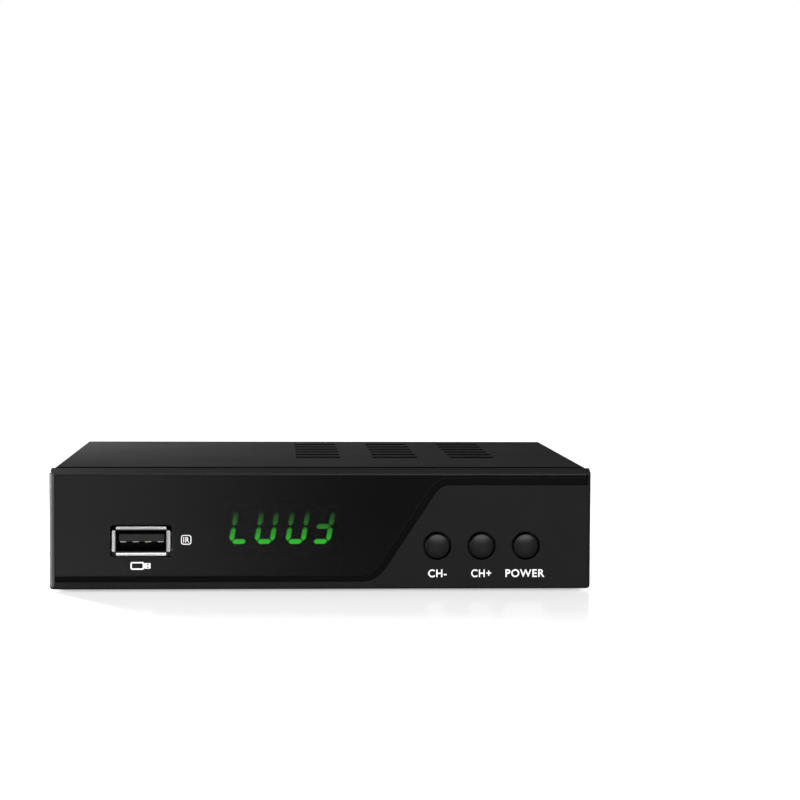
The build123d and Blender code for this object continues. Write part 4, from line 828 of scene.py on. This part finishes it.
def new_tree(name, sizes, counts):
    """An empty Geometry Nodes tree. Gives the tree and its input values by name."""
    tree = bpy.data.node_groups.new(name, "GeometryNodeTree")
    tree.is_modifier = True
    tree.interface.new_socket("Geometry", in_out="INPUT", socket_type="NodeSocketGeometry")
    for kind, values in (("Float", sizes), ("Int", counts)):
        for label, value in values.items():
            entry = tree.interface.new_socket(label, in_out="INPUT", socket_type="NodeSocket" + kind)
            entry.default_value = value
    tree.interface.new_socket("Material", in_out="INPUT", socket_type="NodeSocketMaterial")
    tree.interface.new_socket("Geometry", in_out="OUTPUT", socket_type="NodeSocketGeometry")
    entries = tree.nodes.new("NodeGroupInput").outputs
    return tree, {socket.name: Number(tree, socket) for socket in entries if socket.name}


def rolled_grid(tree, columns, around):
    """A flat grid, with the number of each column and the angle of each row as fields."""
    grid = add_node(tree, "GeometryNodeMeshGrid", Size_X=1.0, Size_Y=1.0, Vertices_X=columns,
                    Vertices_Y=around + 1)
    split = add_node(tree, "ShaderNodeSeparateXYZ", Vector=tree.nodes.new("GeometryNodeInputPosition"))
    column = ((Number(tree, split.outputs["X"]) + 0.5) * (columns - 1)).then("ROUND")
    angle = (Number(tree, split.outputs["Y"]) + 0.5) * (2 * math.pi)
    return grid, column, angle


def rolled_up(tree, mesh, radius, along, angle):
    """Rolls a grid round the Z axis and joins its seams."""
    place = add_node(tree, "ShaderNodeCombineXYZ", X=radius * angle.then("COSINE"),
                     Y=radius * angle.then("SINE"), Z=along)
    move = add_node(tree, "GeometryNodeSetPosition", Geometry=mesh, Position=place)
    return add_node(tree, "GeometryNodeMergeByDistance", Geometry=move, Distance=1e-7)


def stepped(column, first, corners):
    """Radius and height on the columns from `first` on, one for each corner, and 0 elsewhere."""
    here = [column.then("COMPARE", first + i, 0.5) for i in range(len(corners))]
    radii, heights = ([at * corner[k] for at, corner in zip(here, corners)] for k in (0, 1))
    return sum(radii[1:], radii[0]), sum(heights[1:], heights[0])


def thread_radius(along, angle, root, crest, pitch):
    """The radius of a right-handed thread with flat crests and roots."""
    turn = (along / pitch - angle / (2 * math.pi)).then("FRACT")
    wave = (turn * 2.0 - 1.0).then("ABSOLUTE")
    rise = (wave * THREAD_SLOPE - (THREAD_SLOPE - 1) / 2).then("MAXIMUM", 0.0).then("MINIMUM", 1.0)
    return root + rise * (crest - root)


def finish_tree(tree, geometry, material):
    """Ends a tree with Realize Instances and Set Material."""
    real = add_node(tree, "GeometryNodeRealizeInstances", Geometry=geometry)
    coat = add_node(tree, "GeometryNodeSetMaterial", Geometry=real, Material=material)
    add_node(tree, "NodeGroupOutput", Geometry=coat)


def grown(tree, name, values, source=None):
    """Runs a tree with the given input values and gives its result as a bmesh."""
    holder = placed(name + "_holder", source or bpy.data.meshes.new(name + "_seed"))
    modifier = holder.modifiers.new("grow", "NODES")
    modifier.node_group = tree
    keys = {item.name: item.identifier for item in tree.interface.items_tree if item.in_out == "INPUT"}
    for label, value in values.items():
        modifier[keys[label]] = value
    holder.update_tag()
    result = baked(holder)
    holder.modifiers.remove(modifier)
    bpy.data.objects.remove(holder)
    mesh = bmesh.new()
    mesh.from_mesh(result)
    print(name, "grown:", len(mesh.faces), "faces")
    return mesh


def pointing_back(mesh, low, high, start):
    """Turns a mesh from +Z to +Y and stands it at y = start, in the middle of a box."""
    turn = Vector((0, 0, 1)).rotation_difference(Vector((0, 1, 0))).to_matrix().to_4x4()
    place = ((low.x + high.x) / 2, start, (low.z + high.z) / 2)
    bmesh.ops.transform(mesh, matrix=Matrix.Translation(place) @ turn, verts=mesh.verts)
    return mesh


# %% [markdown]
# ## Aerial sockets
#
# Each aerial socket is one turned brass part: a flange inside the rear wall, a plain neck under the
# nut, and a thread on which the aerial plug is screwed. Its outline is a closed loop. The first
# columns of the grid run down the thread from the tip, the last ones run along the neck, the flange
# and the bore, and back to the tip. The crests near the tip are cut back to a cone, so that a plug
# starts easily.

# %% Threaded sockets
TIP_SLOPE = 0.5  # of the cone that cuts the first crests back


def socket_tree():
    """A threaded tube with a neck and a flange. The thread stands on Z = 0 and points along +Z."""
    tree, size = new_tree("threaded_socket", {
        "Crest Radius": 4.76 * MM, "Root Radius": 4.3 * MM, "Pitch": 0.794 * MM, "Length": 8 * MM,
        "Bore": 2.9 * MM, "Neck Radius": 4.6 * MM, "Back": 4 * MM, "Flange Radius": 6.2 * MM,
        "Flange": 1 * MM}, {"Thread Columns": 80, "Around": 64})
    last = size["Thread Columns"]
    mesh, column, angle = rolled_grid(tree, last + 8, size["Around"])
    closing = column.then("COMPARE", last + 7, 0.5)
    on_thread = column.then("LESS_THAN", last + 0.5) + closing
    done = column / last * (1.0 - closing)
    height = size["Length"] * (1.0 - done)
    ridge = thread_radius(height, angle, size["Root Radius"], size["Crest Radius"], size["Pitch"])
    cone = size["Root Radius"] + (size["Length"] - height) * TIP_SLOPE
    back = size["Back"] * -1.0
    flange_top = back + size["Flange"]
    corners = [(size["Neck Radius"], 0.0), (size["Neck Radius"], flange_top),
               (size["Flange Radius"], flange_top), (size["Flange Radius"], back),
               (size["Bore"], back), (size["Bore"], size["Length"])]
    radius, level = stepped(column, last + 1, corners)
    tube = rolled_up(tree, mesh, on_thread * ridge.then("MINIMUM", cone) + radius,
                     on_thread * height + level, angle)
    finish_tree(tree, tube, size["Material"])
    return tree


nickel = finishes["nickel"]
threaded_socket = socket_tree()
nuts_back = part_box("lnb_nuts")[1].y
for node_name in ("lnb_in_socket", "lnb_out_socket"):
    low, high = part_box(node_name)
    sizes = {"Length": high.y - nuts_back, "Back": nuts_back - low.y, "Material": nickel}
    mesh = pointing_back(grown(threaded_socket, node_name, sizes), low, high, nuts_back)
    finished(mesh, node_name.replace("socket", "thread"), "nickel", node_name)

# %% [markdown]
# ## Nuts and toothed washers
#
# A nut is bar stock with six flats. Its corners are turned off at a slant, which leaves a round face
# with a curved edge on each flat. On the grid this is a rule too: the radius follows the flats as the
# angle grows, and the height drops as far as the radius passes the round face. The washer under it
# has teeth, twisted out of its plane so that they bite.

# %% Nuts and washers
NUT_FACE, NUT_SLANT = 0.97, 0.45  # radius of the round face by the flats, and slope of the turned corners
TOOTH_SHARE = 0.62  # of each step round the washer, and the rest is the gap
WASHER_HALF = 0.3  # half the sheet's own thickness, as a share of the thickness with its twist


def ring_tree(name, corner_count, sizes, outline):
    """A ring round the Z axis. Its outline lists radius and height of each corner for an angle."""
    tree, size = new_tree(name, sizes, {"Around": 96})
    mesh, column, angle = rolled_grid(tree, corner_count + 1, size["Around"])
    corners = outline(size, angle)
    radius, height = stepped(column, 0, corners + corners[:1])
    finish_tree(tree, rolled_up(tree, mesh, radius, height, angle), size["Material"])
    return tree


def nut_outline(size, angle):
    """Six corners: the bore, the round face, and the flats with their corners turned off."""
    flat = size["Across Flats"] * 0.5
    sixth = math.pi / 3
    turn = angle.then("FLOORED_MODULO", sixth) - sixth / 2
    edge = flat / turn.then("COSINE")
    face = flat * NUT_FACE
    drop = (edge - face) * NUT_SLANT
    top = size["Thickness"] - drop
    return [(size["Bore"], size["Thickness"]), (face, size["Thickness"]), (edge, top), (edge, drop),
            (face, 0.0), (size["Bore"], 0.0)]


def washer_outline(size, angle):
    """Four corners: the bore, and a rim that is cut back between its twisted teeth."""
    tooth = (angle * size["Teeth"] / (2 * math.pi)).then("FRACT")
    cut = tooth.then("GREATER_THAN", TOOTH_SHARE)
    edge = size["Radius"] - cut * size["Tooth"]
    middle, half = size["Thickness"] * 0.5, size["Thickness"] * WASHER_HALF
    twist = (tooth - TOOTH_SHARE / 2) * middle
    level = middle + twist * (1.0 - cut)
    return [(size["Bore"], middle + half), (edge, level + half), (edge, level - half),
            (size["Bore"], middle - half)]


def solid_boxes(node_name):
    """Lowest and highest corner of each separate solid of a frame piece, from left to right."""
    mesh = merged(nodes[node_name].data)
    boxes = []
    for group in islands(mesh):
        places = [vertex.co for face in group for vertex in face.verts]
        boxes.append((Vector(map(min, zip(*places))), Vector(map(max, zip(*places)))))
    mesh.free()
    return sorted(boxes, key=lambda box: (round(box[0].x, 5), round(box[0].y, 5)))


def ring_in(box, tree, name, slot, length="Thickness"):
    """A ring that fills a box from front to back. `length` names the tree's input for that size."""
    low, high = box
    ring = grown(tree, name, {length: high.y - low.y, "Material": finishes[slot]})
    return pointing_back(ring, low, high, low.y)


def joined(meshes):
    """Puts several bmeshes into one."""
    whole = bmesh.new()
    for mesh in meshes:
        part = written(mesh, bpy.data.meshes.new("part"))
        whole.from_mesh(part)
        bpy.data.meshes.remove(part)
    return whole


hex_nut = ring_tree("hex_nut", 6, {"Across Flats": 11.1 * MM, "Bore": 4.65 * MM, "Thickness": 2.2 * MM},
                    nut_outline)
toothed_washer = ring_tree("toothed_washer", 4, {"Radius": 6.6 * MM, "Bore": 5.06 * MM, "Thickness": 0.6 * MM,
                                                 "Tooth": 0.9 * MM, "Teeth": 16.0}, washer_outline)
for node_name, piece_name, tree in (("lnb_nuts", "hexagon_nuts", hex_nut),
                                    ("lnb_washers", "toothed_washers", toothed_washer)):
    rings = [ring_in(box, tree, piece_name, "nickel") for box in solid_boxes(node_name)]
    finished(joined(rings), piece_name, "nickel", node_name)

# %% [markdown]
# ## Screws
#
# All screws here are pan heads with a cross recess. One tree makes the screw from a single loop,
# down from the middle of the head over its rim and along the thread. Two crossed blocks are then cut
# out of the head with a Mesh Boolean node. The finished screw is placed on points, one for each
# screw of the frame, and each copy is turned by a random angle, because nobody lines up the slots of
# the screws. The seed is fixed, so they come out the same every time.

# %% Screws
HEAD_ROUNDING = 0.62  # power on the head's quarter round: 1 gives a dome, less gives a fuller pan
ROOT_SHARE, POINT_SHARE = 0.82, 0.7  # thread's root by the shank, and the point's end by the root


def screw_body(tree, size):
    """A pan-headed screw from the top of its head, above Z = 0, to its point below."""
    head = size["Head Columns"]
    last = head + size["Thread Columns"]
    mesh, column, angle = rolled_grid(tree, last + 3, size["Around"])
    turn = (column / head).then("MINIMUM", 1.0) * (math.pi / 2)
    dome = size["Head Radius"] * turn.then("SINE").then("POWER", HEAD_ROUNDING)
    rise = size["Head Height"] * turn.then("COSINE").then("MAXIMUM", 0.0).then("POWER", HEAD_ROUNDING)
    on_head = column.then("LESS_THAN", head + 0.5)
    below = 1.0 - on_head
    down = (column - (head + 1)) / size["Thread Columns"]
    depth = size["Length"] * down.then("MAXIMUM", 0.0).then("MINIMUM", 1.0)
    root = size["Shank Radius"] * ROOT_SHARE
    ridge = thread_radius(depth, angle, root, size["Shank Radius"], size["Pitch"])
    point = root * POINT_SHARE + (size["Length"] - depth)
    tip = column.then("COMPARE", last + 2, 0.5)
    shank = ridge.then("MINIMUM", point) * (1.0 - tip)
    return rolled_up(tree, mesh, on_head * dome + below * shank, on_head * rise - below * depth, angle)


def cross_cut(tree, size, body):
    """The body with two crossed blocks cut out of the top of its head."""
    cut = add_node(tree, "GeometryNodeMeshBoolean", {"operation": "DIFFERENCE", "solver": "EXACT"},
                   Mesh_1=body)
    wide, reach = size["Recess Width"], size["Recess Reach"] * 2.0
    lift = add_node(tree, "ShaderNodeCombineXYZ", Z=size["Head Height"])
    for x, y in ((wide, reach), (reach, wide)):
        extent = add_node(tree, "ShaderNodeCombineXYZ", X=x, Y=y, Z=size["Recess Depth"] * 2.0)
        block = add_node(tree, "GeometryNodeMeshCube", Size=extent)
        raised = add_node(tree, "GeometryNodeTransform", Geometry=block, Translation=lift)
        put(tree, cut.inputs["Mesh 2"], raised)
    return cut


def on_points(tree, size, screw):
    """A screw on each point, aimed along the point's `axis` and turned by a random angle."""
    axis = add_node(tree, "GeometryNodeInputNamedAttribute", {"data_type": "FLOAT_VECTOR"}, Name="axis")
    aim = add_node(tree, "FunctionNodeAlignRotationToVector", {"axis": "Z"}, Vector=axis.outputs["Attribute"])
    chance = add_node(tree, "FunctionNodeRandomValue", {"data_type": "FLOAT"}, Seed=size["Seed"])
    spin = add_node(tree, "FunctionNodeAxisAngleToRotation",
                    Angle=Number(tree, chance.outputs[1]) * (math.pi / 2))
    turned_by = add_node(tree, "FunctionNodeRotateRotation", {"rotation_space": "LOCAL"}, Rotation=aim,
                         Rotate_By=spin)
    return add_node(tree, "GeometryNodeInstanceOnPoints", Points=size["Geometry"], Instance=screw,
                    Rotation=turned_by)


def screw_tree():
    """Cross-headed screws on points. The attribute `axis` of a point says where its head looks."""
    tree, size = new_tree("cross_head_screw", {
        "Head Radius": 2.75 * MM, "Head Height": 1.7 * MM, "Shank Radius": 1.45 * MM, "Length": 4 * MM,
        "Pitch": 0.7 * MM, "Recess Width": 0.75 * MM, "Recess Reach": 1.45 * MM, "Recess Depth": 0.9 * MM},
        {"Head Columns": 14, "Thread Columns": 42, "Around": 48, "Seed": 7})
    screw = cross_cut(tree, size, screw_body(tree, size))
    finish_tree(tree, on_points(tree, size, screw), size["Material"])
    return tree


def screw_points(node_name, axis_at, head_height):
    """A mesh of points under the screw heads of a frame piece, with the axis of each."""
    places, axes = [], []
    for low, high in solid_boxes(node_name):
        middle = (low + high) / 2
        axis = Vector(axis_at(middle))
        reach = sum(abs(a) * (h - l) / 2 for a, l, h in zip(axis, low, high))
        places.append(middle + axis * (reach - head_height))
        axes.append(axis)
    data = bpy.data.meshes.new(node_name + "_points")
    data.from_pydata(places, [], [])
    attribute = data.attributes.new("axis", "FLOAT_VECTOR", "POINT")
    for item, axis in zip(attribute.data, axes):
        item.vector = axis
    return data


# %% Screws in their places
RECESS_SHARE = 0.55  # depth of the cross recess as a share of the head's height
SCREWS = (("rear_cover_screws", "black_screw", lambda p: (0, 1, 0), 1.7 * MM, 4 * MM),
          ("side_cover_screws", "black_screw", lambda p: (math.copysign(1, p.x), 0, 0), 0.9 * MM, 4 * MM),
          ("front_board_screws", "zinc_screw", lambda p: (0, 1, 0), 1.7 * MM, 6 * MM),
          ("board_screws", "zinc_screw", lambda p: (0, 0, 1), 1.7 * MM, 6 * MM))
cross_head_screw = screw_tree()
for node_name, slot, axis_at, head_height, length in SCREWS:
    sizes = {"Head Height": head_height, "Length": length, "Recess Depth": head_height * RECESS_SHARE,
             "Material": finishes[slot]}
    mesh = grown(cross_head_screw, node_name, sizes, screw_points(node_name, axis_at, head_height))
    finished(mesh, node_name.replace("screws", "cross_screws"), slot, node_name, smooth_below=40.0)

# %% [markdown]
# ## Sockets and marks on the back
#
# The three phono sockets are turned too: a drawn sleeve whose mouth is rounded so that a plug slips
# over it, and a coloured ring with a bevelled edge. Both are rings with an outline, so `ring_tree`
# makes them. The words under the sockets are the same thin films of ink as on the front. Seen from
# behind, left and right change places, so a word starts at its larger x.

# %% Phono sockets
LIP_SHARES = (0.15, 0.35, 0.65, 0.85)  # of the wall, where the rounded lip has its points


def collar_outline(size, angle):
    """Five corners of a ring whose outer edge is bevelled at the back."""
    inner = size["Radius"] - size["Bevel"]
    edge = size["Thickness"] - size["Bevel"]
    return [(size["Bore"], size["Thickness"]), (inner, size["Thickness"]), (size["Radius"], edge),
            (size["Radius"], 0.0), (size["Bore"], 0.0)]


def sleeve_outline(size, angle):
    """Ten corners of a tube with a rounded lip and a narrower neck."""
    wall = size["Wall"]
    bore = size["Radius"] - wall
    lip_end = size["Length"] - wall * 0.5
    lip = [(bore + wall * share, size["Length"] - wall * (2 * (share - 0.5) ** 2)) for share in LIP_SHARES]
    return [(bore, lip_end), *lip, (size["Radius"], lip_end), (size["Radius"], size["Neck"]),
            (size["Neck Radius"], size["Neck"]), (size["Neck Radius"], 0.0), (bore, 0.0)]


collar_ring = ring_tree("collar_ring", 5, {"Radius": 5.1 * MM, "Bore": 3.9 * MM, "Thickness": 2.4 * MM,
                                           "Bevel": 0.35 * MM}, collar_outline)
phono_sleeve = ring_tree("phono_sleeve", 10, {"Radius": 4.15 * MM, "Wall": 0.75 * MM, "Neck Radius": 3.9 * MM,
                                              "Neck": 2.4 * MM, "Length": 10.4 * MM}, sleeve_outline)
for node_name, piece_name, slot in (("composite_jack_collar", "composite_ring", "yellow_plastic"),
                                    ("left_audio_collar", "left_audio_ring", "white_plastic"),
                                    ("right_audio_collar", "right_audio_ring", "red_plastic")):
    finished(ring_in(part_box(node_name), collar_ring, piece_name, slot), piece_name, slot, node_name)
sleeves = [ring_in(box, phono_sleeve, "phono_sleeve", "nickel", "Length")
           for box in solid_boxes("av_jack_sleeves")]
finished(joined(sleeves), "phono_sleeves", "nickel", "av_jack_sleeves", smooth_below=40.0)

# %% Marks of the back
REAR_BASE, REAR_TALL = 6.4 * MM, 1.8 * MM
REAR_MARKS = (("LNB IN", "lnb_in_socket", 8.2), ("LNB OUT", "lnb_out_socket", 9.8),
              ("TV", "video_socket_shell", 2.6), ("VIDEO", "composite_jack_collar", 6.6),
              ("L", "left_audio_collar", 1.0), ("R", "right_audio_collar", 1.3),
              ("DC 12V", "power_socket_body", 7.6))  # word, piece above it, width in millimetres
rear_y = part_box("lnb_washers")[0].y
for word, node_name, wide in REAR_MARKS:
    low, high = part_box(node_name)
    middle = (low.x + high.x) / 2
    printed_word(word, node_name + "_mark", middle + wide / 2 * MM, middle - wide / 2 * MM, REAR_BASE,
                 REAR_TALL, face_y=rear_y, outwards=1)
print("words on the back:", len(REAR_MARKS))

# %% [markdown]
# ## Floor, light and background
#
# The box stands on a pale satin floor that melts into a white background. A plain white floor under
# white light would drown its own shadow, so floor and background glow for the camera and for mirrors
# only. Light that scatters sees a much dimmer studio, which leaves the shading to four rectangular
# lamps. A long strip before the box lights the front and the caps, one on the left lights the
# rounded end, a faint one overhead lifts the top, and a small one close by, above the rear left
# corner, brightens the left of the top. The floor's glow grows with distance, up to the background.

# %% Stage
GLOW_NEAR, GLOW_FAR = 0.45, 0.8
NEAR, FAR = 0.15, 0.9  # metres from the middle of the floor
FLOOR_HALF = 4.0
AMBIENT = 0.28
WHITE = (1, 1, 1, 1)
# name, place, target, width, height and radiance of each lamp
LAMPS = (("front_strip", (0.10, -0.87, 0.26), (0, 0, 0.02), 0.55, 0.10, 44.0),
         ("left_strip", (-0.75, -0.08, 0.05), (-0.07, -0.05, 0.02), 0.28, 0.20, 50.0),
         ("overhead_strip", (0.0, -0.25, 0.9), (0, -0.05, 0.03), 0.50, 0.15, 1.5),
         ("top_left", (-0.145, 0.07, 0.093), (-0.05, 0.01, 0.03), 0.04, 0.08, 88.0))


def background_rays(tree):
    """1 for rays that the camera, a mirror or a clear surface sends, and 0 for light that scatters."""
    path = tree.nodes.new("ShaderNodeLightPath").outputs
    seen = Number(tree, path["Is Camera Ray"]).then("MAXIMUM", path["Is Glossy Ray"])
    return seen.then("MAXIMUM", path["Is Transmission Ray"])


def pale_floor():
    """Satin floor that keeps the box's shadow and faint mirror image, and fades into the background."""
    material, tree, shader = new_material("pale_floor", Base_Color=(0.8, 0.8, 0.8, 1), Roughness=0.2,
                                          Specular_IOR_Level=0.09, Emission_Color=WHITE)
    away = add_node(tree, "ShaderNodeVectorMath", {"operation": "LENGTH"}, Vector=object_place(tree))
    glow = mapped(Number(tree, away.outputs["Value"]), NEAR, FAR, GLOW_NEAR, GLOW_FAR)
    fill(tree, shader, Emission_Strength=background_rays(tree) * glow)
    return material


def softbox(name, place, target, wide, tall, radiance):
    """A rectangular lamp that points from a place to a target and glows at `radiance` all over."""
    data = bpy.data.lights.new(name, "AREA")
    data.shape = "RECTANGLE"
    data.size, data.size_y = wide, tall
    data.energy = radiance * math.pi * wide * tall
    lamp = placed(name, data)
    lamp.location = place
    lamp.rotation_euler = (Vector(target) - Vector(place)).to_track_quat("-Z", "Y").to_euler()


floor_data = bpy.data.meshes.new("floor")
floor_corners = [(x * FLOOR_HALF, y * FLOOR_HALF, 0) for x, y in ((-1, -1), (1, -1), (1, 1), (-1, 1))]
floor_data.from_pydata(floor_corners, [], [(0, 1, 2, 3)])
floor_data.materials.append(pale_floor())
placed("floor", floor_data)

world = bpy.data.worlds.new("studio")
world.use_nodes = True
bpy.context.scene.world = world
studio = world.node_tree
fill(studio, studio.nodes["Background"], Color=WHITE,
     Strength=mapped(background_rays(studio), 0.0, 1.0, AMBIENT, 1.0))
for lamp in LAMPS:
    softbox(*lamp)
print("lamps:", len(LAMPS))
